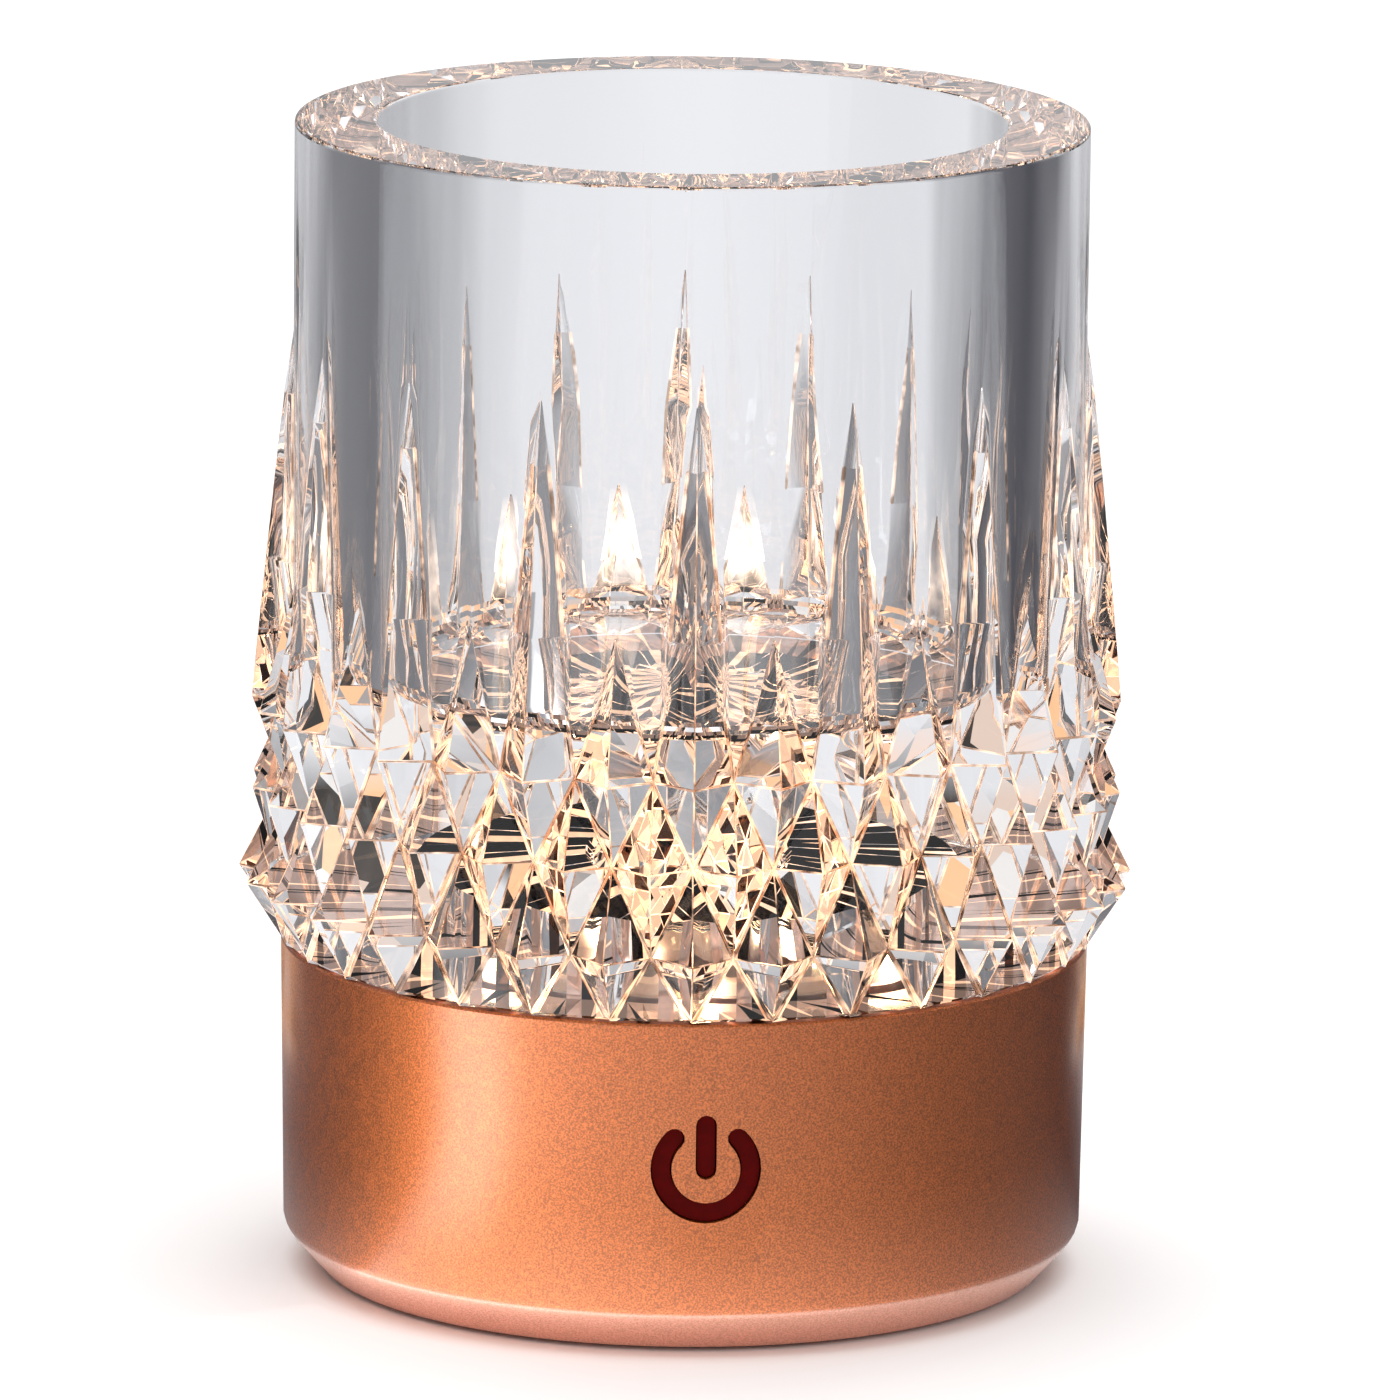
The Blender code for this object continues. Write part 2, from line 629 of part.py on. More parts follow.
def base_cover():
    cover = turned("base_cover", [(0, COVER_TOP), (COVER_RADIUS, COVER_TOP), (COVER_RADIUS, FOOT_TOP + GAP),
                                  (FOOT_INNER - GAP, FOOT_TOP + GAP), (FOOT_INNER - GAP, COVER_BOTTOM),
                                  (0, COVER_BOTTOM)])
    for side in (-1, 1):
        name = "right" if side > 0 else "left"
        middle = side * SADDLE_X
        rib = box(f"cradle_{name}", (middle - SADDLE_WIDTH / 2, BATTERY_Y - 9, COVER_TOP - 1),
                  (middle + SADDLE_WIDTH / 2, BATTERY_Y + 9, BATTERY_Z - 5), CUTTERS)
        join(cover, rib)
    cut(cover, rod("cradle_clearance", BATTERY_RADIUS + GAP, -40, 40, (BATTERY_Y, BATTERY_Z), segments=48,
                   axis="X"))
    for number, place in enumerate(STANDOFFS, 1):
        join(cover, rod(f"standoff_{number}", 2.2, COVER_TOP - 1, BOARD_BOTTOM - GAP, place))
    for number, place in enumerate(STANDOFFS[:2], 1):
        cut(cover, rod(f"standoff_pilot_{number}", 1.0, COVER_TOP + 0.5, BOARD_BOTTOM + 1, place))
    for number, (x, y) in enumerate(POST_PLACES, 1):
        hole = [(0, COVER_TOP + 1), (SCREW_HOLE, COVER_TOP + 1), (SCREW_HOLE, SCREW_HEAD_SEAT),
                (SCREW_HEAD_HOLE, SCREW_HEAD_SEAT), (SCREW_HEAD_HOLE, 0), (0, 0)]
        cut(cover, turned(f"cover_hole_{number}", hole, CUTTERS, SMALL_SEGMENTS, (x, y, 0)))
    as_part(cover, "black_plastic")


def foot_ring():
    as_part(turned("foot_ring", [(FOOT_INNER, FOOT_TOP), (COVER_RADIUS, FOOT_TOP), (COVER_RADIUS, 0.4),
                                 (COVER_RADIUS - 0.4, 0), (FOOT_INNER, 0)]), "rubber")


# ---------------------------------------------------------------- optics

def light_window():
    """Clear cap over the LEDs: it stands up into the vessel's recess, and its flange sits under the deck."""
    flange_top = BASE_HEIGHT - DECK_THICKNESS - GAP
    inside = WINDOW_RADIUS - WINDOW_WALL
    roof = WINDOW_TOP - WINDOW_SKIN
    as_part(turned("light_window", [(0, WINDOW_TOP), (WINDOW_RADIUS - 0.4, WINDOW_TOP),
                                    (WINDOW_RADIUS, WINDOW_TOP - 0.4), (WINDOW_RADIUS, flange_top),
                                    (WINDOW_FLANGE_RADIUS, flange_top),
                                    (WINDOW_FLANGE_RADIUS, WINDOW_FLANGE_BOTTOM),
                                    (inside, WINDOW_FLANGE_BOTTOM), (inside, roof), (0, roof)],
                   segments=ROUND_SEGMENTS), "clear_plastic")


def window_clamp():
    """Ring that holds the window's flange up against the deck."""
    top = WINDOW_FLANGE_BOTTOM - GAP
    foot = CHASSIS_WALL_TOP + GAP
    as_part(turned("window_clamp", [(CLAMP_INNER, top), (CLAMP_OUTER, top), (CLAMP_OUTER, foot),
                                    (CLAMP_INNER, foot)]), "white_plastic")


def led_pedestal():
    """Metal ring that carries the LED board and takes its heat down to the chassis."""
    top = LED_BOARD_BOTTOM - GAP
    foot = CHASSIS_TOP + GAP
    inner, outer = PEDESTAL_WALL
    ledge_radius, ledge_bottom = PEDESTAL_LEDGE
    as_part(turned("led_pedestal", [(ledge_radius, top), (outer, top), (outer, foot), (inner, foot),
                                    (inner, ledge_bottom), (ledge_radius, ledge_bottom)]), "aluminium")


def led_board():
    as_part(turned("led_board", [(0, LED_BOARD_TOP), (LED_BOARD_RADIUS, LED_BOARD_TOP),
                                 (LED_BOARD_RADIUS, LED_BOARD_BOTTOM), (0, LED_BOARD_BOTTOM)],
                   segments=ROUND_SEGMENTS), "lamp_board")


def leds():
    bottom = LED_BOARD_TOP + LED_STANDOFF
    for number, (angle, x, y) in enumerate(around(LED_COUNT, LED_RING), 1):
        half = [size / 2 for size in LED_SIZE]
        led = box(f"led_{number}", (-half[0], -half[1], -half[2]), half, bevel=0.2)
        led.location = Vector((x, y, bottom + half[2])) * MM
        led.rotation_euler = (0, 0, angle + math.pi / 2)
        as_part(led, "led")


# ---------------------------------------------------------------- chassis and battery

def chassis():
    """The black frame that the battery hangs under, the boards sit on and the cover screws into."""
    inner, outer = CHASSIS_WALL
    frame = turned("chassis", [(0, CHASSIS_TOP), (inner, CHASSIS_TOP), (inner, CHASSIS_WALL_TOP),
                               (outer, CHASSIS_WALL_TOP), (outer, CHASSIS_TOP),
                               (CHASSIS_RADIUS, CHASSIS_TOP), (CHASSIS_RADIUS, CHASSIS_BOTTOM),
                               (0, CHASSIS_BOTTOM)])
    for side in (-1, 1):
        name = "right" if side > 0 else "left"
        middle = side * SADDLE_X
        join(frame, box(f"saddle_{name}", (middle - SADDLE_WIDTH / 2, BATTERY_Y - 11.4, BATTERY_Z - 1),
                        (middle + SADDLE_WIDTH / 2, BATTERY_Y + 11.4, CHASSIS_BOTTOM + 1), CUTTERS))
    cut(frame, rod("saddle_clearance", BATTERY_RADIUS + GAP, -40, 40, (BATTERY_Y, BATTERY_Z), segments=48,
                   axis="X"))
    for number, place in enumerate(POST_PLACES, 1):
        join(frame, rod(f"post_{number}", POST_RADIUS, POST_FOOT, CHASSIS_BOTTOM + 1, place))
        cut(frame, rod(f"post_pilot_{number}", PILOT_RADIUS, POST_FOOT - 1, POST_FOOT + 10, place))
    for number, degrees in enumerate(BOSS_ANGLES, 1):
        place = Vector((BOSS_RING, 0)) @ Matrix.Rotation(-math.radians(degrees), 2)
        cut(frame, rod(f"frame_hole_{number}", 1.6, CHASSIS_BOTTOM - 1, CHASSIS_TOP + 1, place))
    cut(frame,
        box("lead_slot", (-12.2, 9.5, CHASSIS_BOTTOM - 1), (-7.8, 16.5, CHASSIS_TOP + 1), CUTTERS),
        box("touch_board_notch", (-11.5, -40, CHASSIS_BOTTOM - 1), (11.5, -32.4, CHASSIS_TOP + 1), CUTTERS))
    as_part(frame, "black_plastic")


def battery():
    """A round lithium cell lying along X, with a welded tab at each end."""
    half = BATTERY_HALF_LENGTH
    cell = turned("battery_cell", [(0, half), (3.2, half), (3.2, half - 0.8),
                                   (BATTERY_RADIUS - 0.8, half - 0.8),
                                   (BATTERY_RADIUS, half - 1.6), (BATTERY_RADIUS, 0.8 - half),
                                   (BATTERY_RADIUS - 0.8, -half), (0, -half)], segments=32,
                  place=(0, BATTERY_Y, BATTERY_Z))
    cell.rotation_euler = (0, math.radians(90), 0)
    as_part(cell, "battery_sleeve")
    for name, side in (("battery_tab_plus", 1), ("battery_tab_minus", -1)):
        near, far = sorted((side * (half + 0.2), side * (half + 0.5)))
        tab = box(name, (near, BATTERY_Y - 3.5, BATTERY_Z - 4), (far, BATTERY_Y + 3.5, BATTERY_Z + 4))
        as_part(tab, "steel")


# ---------------------------------------------------------------- electronics

def main_board():
    outline = [(BOARD_HALF_WIDTH, BOARD_FRONT), (BOARD_HALF_WIDTH, BOARD_REAR),
               (BOARD_TONGUE_HALF_WIDTH, BOARD_REAR), (BOARD_TONGUE_HALF_WIDTH, BOARD_TONGUE_REAR)]
    outline += [(-x, y) for x, y in reversed(outline)]
    board = slab("main_board", outline, BOARD_BOTTOM, BOARD_TOP, facing="Z")
    for number, place in enumerate(STANDOFFS[:2], 1):
        cut(board, rod(f"board_screw_hole_{number}", 1.3, BOARD_BOTTOM - 1, BOARD_TOP + 1, place))
    as_part(board, "circuit_board")
    surface = BOARD_TOP + 0.15
    pieces = (
        ("charger_chip", (-2.5, 16.0), (2.5, 21.0), 1.1, "black_plastic"),
        ("power_inductor", (-10.0, 15.0), (-4.5, 20.5), 2.8, "black_plastic"),
        ("driver_chip", (5.5, 14.5), (9.5, 18.5), 1.1, "black_plastic"),
        ("battery_plug", (8.0, 7.6), (11.6, 11.6), 3.4, "white_plastic"),
        ("lamp_plug", (-11.2, 8.0), (-4.0, 10.9), 3.4, "white_plastic"),
        ("charge_led", (LIGHT_PIPE_X - 0.8, 28.2), (LIGHT_PIPE_X + 0.8, 29.6), 2.2, "led"),
    )
    for name, low, high, height, finish in pieces:
        as_part(box(name, (*low, surface), (*high, surface + height), bevel=0.15), finish)


def charging_port():
    def outline(width, height, radius):
        return [(x, z + PORT_Z) for x, z in rectangle(width, height, radius)]

    back = PORT_MOUTH - 7.3
    receptacle = slab("usb_receptacle", outline(PORT_WIDTH, PORT_HEIGHT, 1.55), back, PORT_MOUTH)
    hollow = outline(PORT_WIDTH - 0.6, PORT_HEIGHT - 0.6, 1.25)
    cut(receptacle, slab("receptacle_hollow", hollow, back + 1, PORT_MOUTH + 1, CUTTERS))
    as_part(receptacle, "steel")
    as_part(box("usb_tongue", (-3.3, back + 1.3, PORT_Z - 0.35), (3.3, PORT_MOUTH - 0.6, PORT_Z + 0.35)),
            "black_plastic")

    sleeve = slab("port_sleeve", outline(*SLEEVE_OUTER), PORT_MOUTH - 1.3, BASE_RADIUS + 2)
    front = BASE_LOW_RADIUS - 0.15
    face = turned("sleeve_face", [(0, PORT_Z + 8), (front, PORT_Z + 8), (front, PORT_Z - 8), (0, PORT_Z - 8)],
                  CUTTERS, ROUND_SEGMENTS)
    combine(sleeve, face, "INTERSECT")
    cut(sleeve, slab("sleeve_mouth", outline(*SLEEVE_INNER), PORT_MOUTH + 0.4, BASE_RADIUS + 4, CUTTERS),
        slab("sleeve_throat", outline(PORT_WIDTH + 0.6, PORT_HEIGHT + 0.6, 1.85), PORT_MOUTH - 3,
             PORT_MOUTH + 3, CUTTERS))
    as_part(sleeve, "black_plastic")
    outside = math.sqrt(BASE_LOW_RADIUS ** 2 - LIGHT_PIPE_X ** 2)
    pipe = rod("charge_light_pipe", 1.0, BOARD_REAR + GAP, outside, (LIGHT_PIPE_X, PORT_Z), PARTS, axis="Y")
    as_part(pipe, "frosted")


def touch_electronics():
    """The sensing pad behind the mark, its little upright board and the chip on it."""
    pad = rod("touch_electrode", 6.4, -36.9, -36.4, (0, MARK_HEIGHT), PARTS, 32, "Y")
    as_part(pad, "steel")
    as_part(box("touch_board", (-10, -35.4, 13.5), (10, -34.4, 27.0)), "circuit_board")
    as_part(box("touch_chip", (-2.5, -34.1, 15.5), (2.5, -33.1, 19.5), bevel=0.15), "black_plastic")


def leads():
    tab_x = BATTERY_HALF_LENGTH + 0.8 + LEAD_DIAMETER / 2
    plug = (11.6 + GAP, BOARD_TOP + 2.7)
    wire("battery_lead_plus", [(tab_x, -5.0, 13.0), (tab_x, 0.5, 12.8), (31.5, 6.2, 12.0), (25.0, 9.0, 11.0),
                               (18.0, 8.7, plug[1]), (plug[0], 8.7, plug[1])], "red_wire")
    wire("battery_lead_minus", [(-tab_x, -5.0, 13.0), (-tab_x, 1.0, 13.6), (-31.0, 6.9, 15.0),
                                (-20.0, 8.8, 16.4), (0.0, 9.6, 16.8), (10.5, 10.6, 16.0), (17.5, 10.9, 12.6),
                                (16.2, 10.7, plug[1]), (plug[0], 10.6, plug[1])], "black_wire")
    top = LED_BOARD_BOTTOM - GAP
    for name, x, finish in (("lamp_lead_plus", -9.1, "red_wire"), ("lamp_lead_minus", -11.0, "black_wire")):
        wire(name, [(x, 11.2, BOARD_TOP + 2.0), (x, 13.4, BOARD_TOP + 3.0), (x, 13.6, 18.0), (x, 13.4, 25.0),
                    (x, 13.3, top)], finish)
    ring = 38.2
    arc = []
    for degrees in range(234, 119, -19):
        angle = math.radians(degrees)
        arc.append((ring * math.cos(angle), ring * math.sin(angle), 17.0))
    wire("touch_lead", [(-8.0, -34.1, 17.0), (-9.0, -31.8, 17.0), (-14.0, -34.2, 17.0)] + arc
         + [(-12.5, 28.8, 14.0), (-9.0, 25.2, 9.6), (-7.0, 23.6, BOARD_TOP + 0.95)], "black_wire")


# ---------------------------------------------------------------- screws

def screw(name, place, head_radius, head_height, shank_radius, shank_length):
    """A screw driven upwards: pan head below with a hex socket, then its shank. place is under the head."""
    top = head_height + shank_length
    body = turned(name, [(0, top), (shank_radius * 0.6, top), (shank_radius, top - 0.8),
                         (shank_radius, head_height), (head_radius, head_height), (head_radius, 0.3),
                         (head_radius - 0.3, 0), (0, 0)],
                  segments=SMALL_SEGMENTS, place=place)
    x, y, z = place
    cut(body, rod(name + "_socket", head_radius * 0.5, z - 1, z + head_height * 0.6, (x, y), segments=6))
    as_part(body, "steel")


def screws():
    for number, (x, y) in enumerate(POST_PLACES, 1):
        screw(f"cover_screw_{number}", (x, y, 0.9), 2.2, 0.95, 1.15, 8.5)
    for number, degrees in enumerate(BOSS_ANGLES, 1):
        x, y = Vector((BOSS_RING, 0)) @ Matrix.Rotation(-math.radians(degrees), 2)
        screw(f"frame_screw_{number}", (x, y, 21.1), 2.2, 1.6, 1.15, 8.0)
    for number, (x, y) in enumerate(STANDOFFS[:2], 1):
        head = BOARD_TOP + GAP + 1.2
        seat = BOARD_TOP + GAP
        body = turned(f"board_screw_{number}", [(0, head), (1.6, head), (1.8, head - 0.3), (1.8, seat),
                                                (0.8, seat), (0.8, 4.4), (0, 4.0)],
                      segments=SMALL_SEGMENTS, place=(x, y, 0))
        as_part(body, "steel")


for make in (crystal_vessel, housing_shell, seat_gasket, light_window, window_clamp, led_pedestal, led_board,
             leds, touch_insert, touch_electronics, chassis, battery, main_board, charging_port, base_cover,
             foot_ring, leads, screws):
    make()
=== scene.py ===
"""Looks of the cordless crystal table lamp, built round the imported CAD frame.

Lengths are in millimetres and angles in degrees; MM turns lengths into metres where a shape is made.
The crystal is rebuilt with rounded grooves and ridges, and the other CAD nodes are rebuilt from their
own meshes with smooth faces and softened edges. Every material is procedural.
"""
import math

import bmesh
import bpy
from mathutils import Matrix, Vector


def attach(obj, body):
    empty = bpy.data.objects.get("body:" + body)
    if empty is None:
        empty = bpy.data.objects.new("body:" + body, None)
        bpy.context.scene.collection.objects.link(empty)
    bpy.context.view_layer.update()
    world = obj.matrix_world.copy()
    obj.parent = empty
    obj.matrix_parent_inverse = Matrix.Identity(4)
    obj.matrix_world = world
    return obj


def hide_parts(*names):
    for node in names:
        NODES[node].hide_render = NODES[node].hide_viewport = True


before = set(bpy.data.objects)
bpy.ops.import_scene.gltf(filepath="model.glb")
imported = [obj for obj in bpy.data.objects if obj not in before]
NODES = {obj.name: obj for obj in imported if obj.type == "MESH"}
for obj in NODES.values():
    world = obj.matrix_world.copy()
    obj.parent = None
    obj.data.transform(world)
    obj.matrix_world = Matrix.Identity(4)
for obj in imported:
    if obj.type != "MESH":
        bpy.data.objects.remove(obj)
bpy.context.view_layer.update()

MM = 0.001

# ---------------------------------------------------------------- sizes of the crystal, as in the CAD
COLUMNS = 32
PITCH = 2 * math.pi / COLUMNS
PATTERN_TURN = math.radians(-92.3)
BODY_RADIUS = 41.45
BORE_RADIUS = 32.8
BORE_FLOOR = 63.0
BORE_FILLET = 3.0
RIM_TOP = 122.3
RIM_ROUNDING = 0.45
FOOT_PLANE = 35.9
FOOT_EDGE = 0.3
FOOT_RADIUS = 42.6
# Where a spike or tip stands on a ring: its half width and the radius of its ridge
FOOT_TIP = (0.45, 42.85)
# Rows of pyramids: height, radius of the points, radius of the grooves
ROW_LOW = (42.6, 46.97, 42.75)
ROW_MIDDLE = (51.85, 45.75, 42.3)
ROW_HIGH = (60.75, 45.7, 41.8)
# Spikes at each height: height, half width, radius of the ridge
TALL_SPIKE = ((67.0, 3.05, 45.15), (75.5, 2.55, 44.3), (84.0, 1.84, 43.45), (93.0, 0.9, 42.45),
              (99.7, 0.1, 41.45))
SHORT_SPIKE = ((67.0, 2.1, 43.9), (75.5, 0.1, 41.45), (84.0, 1.0, 41.45), (93.0, 1.5, 41.45),
               (99.7, 1.8, 41.45))
PLAIN_HALF_WIDTH = BODY_RADIUS * PITCH / 4
RECESS_RADIUS = 29.0
CEILING_RADIUS = 28.8
CEILING = 42.0
STAR_RADIUS = 17.0
STAR_DEPTH = 0.9
DOME_MOUTH_RADIUS = 16.2
# Levels of the dome: height, radius, and how far its vertices stand out and in by turns
DOME = ((43.5, 15.2, 0.5), (46.0, 15.0, 0.9), (49.0, 14.6, 0.9), (52.2, 13.2, 0.9), (54.8, 11.0, 0.8),
        (57.0, 7.6, 0.6), (58.3, 3.8, 0.3))
DOME_TOP = 58.8

# The copper housing's chamfer is painted lighter below this height, a painted highlight where it catches the
# floor's light
CHAMFER_HIGHLIGHT_TOP = 4.6

# Steps of plain wall between two spikes, and the vertices that a column has with them
PLAIN_STEPS = 6
RING_STEP = 2 + PLAIN_STEPS

# How wide the polish rounds the crystal's edges, and the share of it that each kind takes
EDGE_ROUNDING = 0.24
GROOVE_WEIGHT = 1.0
RIDGE_WEIGHT = 0.45
STAR_WEIGHT = 0.35
STAR_ROUNDED_EVERY = 4
DOME_WEIGHT = 0.4
DOME_ROUNDED_BELOW = 56.0
SHARP_ANGLE = math.radians(9)
# Over the short spikes' height, only edges that reach out past this radius are rounded
SHORT_RIDGE_RADIUS = 44.0
# A point is clear of a height or a radius when it is MARGIN away, and counts as on it within NEAR
MARGIN = 1.0
NEAR = 0.1

# The other pieces: how wide their edges are softened, and the angle from which an edge counts as sharp
SOFT_EDGE = 0.12
SOFT_ANGLE = math.radians(32)

# ---------------------------------------------------------------- camera and studio
CAMERA_DISTANCE = 1400.0
CAMERA_LENS = 342.8
CAMERA_AZIMUTH = -3.47
CAMERA_ELEVATION = 12.03
CAMERA_ROLL = 0.64
TARGET_SIDE = 1.40
TARGET_HEIGHT = 60.57

# Strength of the lamp's own light, and of the glow painted on the board round the LEDs, on the short spikes
# and on the crystal's rounded edges
LED_COUNT = 8
LED_STRENGTH = 60.0
WHITE_RING = 20.5
RING_GLOW = 0.28
HALO_GLOW = 9.0
SPIKE_GLOW = 1.4
SPIKE_GLOW_FROM = 62.0
EDGE_GLOW_LOW = 0.34
EDGE_GLOW_HIGH = 0.28
EDGE_GLOW_INSIDE = 3.0

# The light tent round the lamp: brightness by degrees from straight in front, right-handed round
TENT_RADIUS = 100.0
TENT_HEIGHT = 260.0
TENT_ROOF = 0.12
TENT_BLUE = 0.012
TENT_WARM_SHARE = 0.985
TENT_STEPS = 240
# Its rings from the base outwards and up: radius, height, share of the brightness, most brightness
TENT_RINGS = ((43.0, 0.2, 2.3, 1.1), (55.0, 0.2, 1.5, 1.1), (75.0, 0.2, 0.85, 9.0),
              (TENT_RADIUS, 0.2, 1.0, 9.0), (TENT_RADIUS, 38.0, 1.0, 9.0), (TENT_RADIUS, 44.0, 1.0, 0.9),
              (TENT_RADIUS, 150.0, 1.0, 0.9), (TENT_RADIUS, TENT_HEIGHT, TENT_ROOF, 0.9))
TENT_LIGHT = ((-180, 0.89), (-167, 0.87), (-158, 0.62), (-147, 0.34), (-137, 0.27), (-125, 0.2), (-110, 0.18),
              (-90, 0.2), (-66, 0.4), (-58, 3.8), (-48, 3.8), (-40, 1.5), (-20, 1.02), (0, 0.8), (20, 0.6),
              (40, 0.4), (60, 0.26), (80, 0.2), (100, 0.12), (113, 0.05), (129, 0.17), (143, 0.5),
              (150, 0.9), (159, 0.86), (168, 0.87), (180, 0.89))
# Low behind the lamp hang small white, gold and black cards, which the crystal's facets pick out
CARDS_PER_METRE = 170.0
CARDS_ABOVE = (1.0, 3.0)
CARDS_BELOW = (30.0, 38.0)
CARDS_BEHIND = (45.0, 65.0)
CARD_COLORS = ((0.0, (0.03, 0.025, 0.02)), (0.16, (1.2, 0.66, 0.36)), (0.4, (0.95, 0.92, 0.9)),
               (0.6, (0.42, 0.39, 0.38)), (0.78, (0.85, 0.66, 0.55)))
FLOOR_RADIUS = 3000.0

# Finish of the crystal
CRYSTAL_IOR = 1.55
# Colour of the glow painted on the underside's mirrored facets
PAINTED_GLOW_COLOR = (1.0, 0.6, 0.38)


# ---------------------------------------------------------------- small helpers

def link(obj):
    bpy.context.scene.collection.objects.link(obj)
    return obj


def mesh_object(name, bm, material):
    """Turn a bmesh into an object with one material, smooth but for its sharp edges."""
    mesh = bpy.data.meshes.new(name)
    bm.to_mesh(mesh)
    bm.free()
    mesh.materials.append(material)
    mesh.polygons.foreach_set("use_smooth", [True] * len(mesh.polygons))
    return link(bpy.data.objects.new(name, mesh))


def polar(radius, angle, height):
    return Vector((radius * math.cos(angle), radius * math.sin(angle), height)) * MM


# ---------------------------------------------------------------- node helpers

class Recipe:
    """A material being built: short names for the nodes that every finish uses."""

    def __init__(self, name):
        self.material = bpy.data.materials.new(name)
        self.material.use_nodes = True
        self.tree = self.material.node_tree
        self.shader = self.tree.nodes["Principled BSDF"]
        self.place = self.node("ShaderNodeTexCoord").outputs["Object"]

    def node(self, kind, **values):
        made = self.tree.nodes.new(kind)
        for key, value in values.items():
            setattr(made, key, value)
        return made

    def join(self, source, target):
        self.tree.links.new(source, target)

    def coordinates(self):
        """The object's own X, Y and Z."""
        split = self.node("ShaderNodeSeparateXYZ")
        self.join(self.place, split.inputs["Vector"])
        return split.outputs["X"], split.outputs["Y"], split.outputs["Z"]

    def distance(self, x, y):
        """Distance from the lamp's axis."""
        squares = self.math("ADD", self.math("POWER", x, 2.0), self.math("POWER", y, 2.0))
        return self.math("SQRT", squares)

    def set(self, **values):
        """Set the shader's own sockets: words in a name are split by underscores."""
        for key, value in values.items():
            socket = self.shader.inputs[key.replace("_", " ")]
            if isinstance(value, tuple) and len(value) == 3 and len(socket.default_value) == 4:
                value = (*value, 1.0)
            socket.default_value = value

    def noise(self, scale, detail=2.0, stretch=None):
        """Noise over the object, at so many cells a metre."""
        made = self.node("ShaderNodeTexNoise")
        made.inputs["Scale"].default_value = scale
        made.inputs["Detail"].default_value = detail
        place = self.place
        if stretch:
            mapping = self.node("ShaderNodeMapping")
            mapping.inputs["Scale"].default_value = stretch
            self.join(self.place, mapping.inputs["Vector"])
            place = mapping.outputs["Vector"]
        self.join(place, made.inputs["Vector"])
        return made.outputs["Fac"]

    def spread(self, source, low, high, source_low, source_high):
        """Map a value from one range to another, held inside it."""
        made = self.node("ShaderNodeMapRange")
        values = {"From Min": source_low, "From Max": source_high, "To Min": low, "To Max": high}
        for key, value in values.items():
            made.inputs[key].default_value = value
        self.join(source, made.inputs["Value"])
        return made.outputs["Result"]

    def blend(self, factor, first, second):
        """Mix two colours, each a colour or a socket."""
        made = self.node("ShaderNodeMix", data_type="RGBA")
        self.join(factor, made.inputs["Factor"])
        for value, socket in ((first, made.inputs["A"]), (second, made.inputs["B"])):
            if isinstance(value, tuple):
                socket.default_value = (*value, 1.0)
            else:
                self.join(value, socket)
        return made.outputs["Result"]

    def math(self, operation, first, second=0.0):
        made = self.node("ShaderNodeMath", operation=operation)
        for value, socket in zip((first, second), made.inputs):
            if isinstance(value, (int, float)):
                socket.default_value = value
            else:
                self.join(value, socket)
        return made.outputs["Value"]

    def bump(self, height, depth, strength):
        """Bump of so many millimetres."""
        made = self.node("ShaderNodeBump")
        made.inputs["Distance"].default_value = depth * MM
        made.inputs["Strength"].default_value = strength
        self.join(height, made.inputs["Height"])
        self.join(made.outputs["Normal"], self.shader.inputs["Normal"])

    def rough(self, source, low, high):
        self.join(self.spread(source, low, high, 0.35, 0.65), self.shader.inputs["Roughness"])

    def color(self, source, low, high, source_low=0.35, source_high=0.65):
        factor = self.spread(source, 0.0, 1.0, source_low, source_high)
        self.join(self.blend(factor, low, high), self.shader.inputs["Base Color"])


# ---------------------------------------------------------------- materials

def crystal_material():
    """Polished lead crystal: clear, with the slight waviness that hand polish leaves."""
    made = Recipe("crystal")
    made.set(Base_Color=(0.985, 0.992, 1.0), Roughness=0.0, Transmission_Weight=1.0, IOR=CRYSTAL_IOR)
    made.bump(made.noise(55.0, detail=1.0), 0.02, 0.35)
    return made.material


def spike_painted_glow_material():
    """A short spike, with a glow painted on like a flame, which grows towards the back of the vessel."""
    made = Recipe("crystal_spike_painted_glow")
    _, y, z = made.coordinates()
    rise = made.spread(z, 0.0, 1.0, SPIKE_GLOW_FROM * MM, SHORT_SPIKE[0][0] * MM)
    fade = made.spread(z, SPIKE_GLOW, 0.0, SHORT_SPIKE[0][0] * MM, SHORT_SPIKE[1][0] * MM)
    patch = made.spread(made.noise(260.0), 0.3, 1.7, 0.35, 0.65)
    back = made.spread(y, 0.0, 1.0, 0.0, BODY_RADIUS * MM)
    # Painted glow: strongest at the spike's foot, in patches, only on the back half and growing towards the
    # back
    glow = made.math("MULTIPLY", made.math("MULTIPLY", rise, fade), made.math("MULTIPLY", patch, back))
    made.join(glow, made.shader.inputs["Emission Strength"])
    made.set(Base_Color=(0.985, 0.99, 1.0), Roughness=0.0, Transmission_Weight=1.0, IOR=CRYSTAL_IOR,
             Emission_Color=(1.0, 0.74, 0.55))
    return made.material


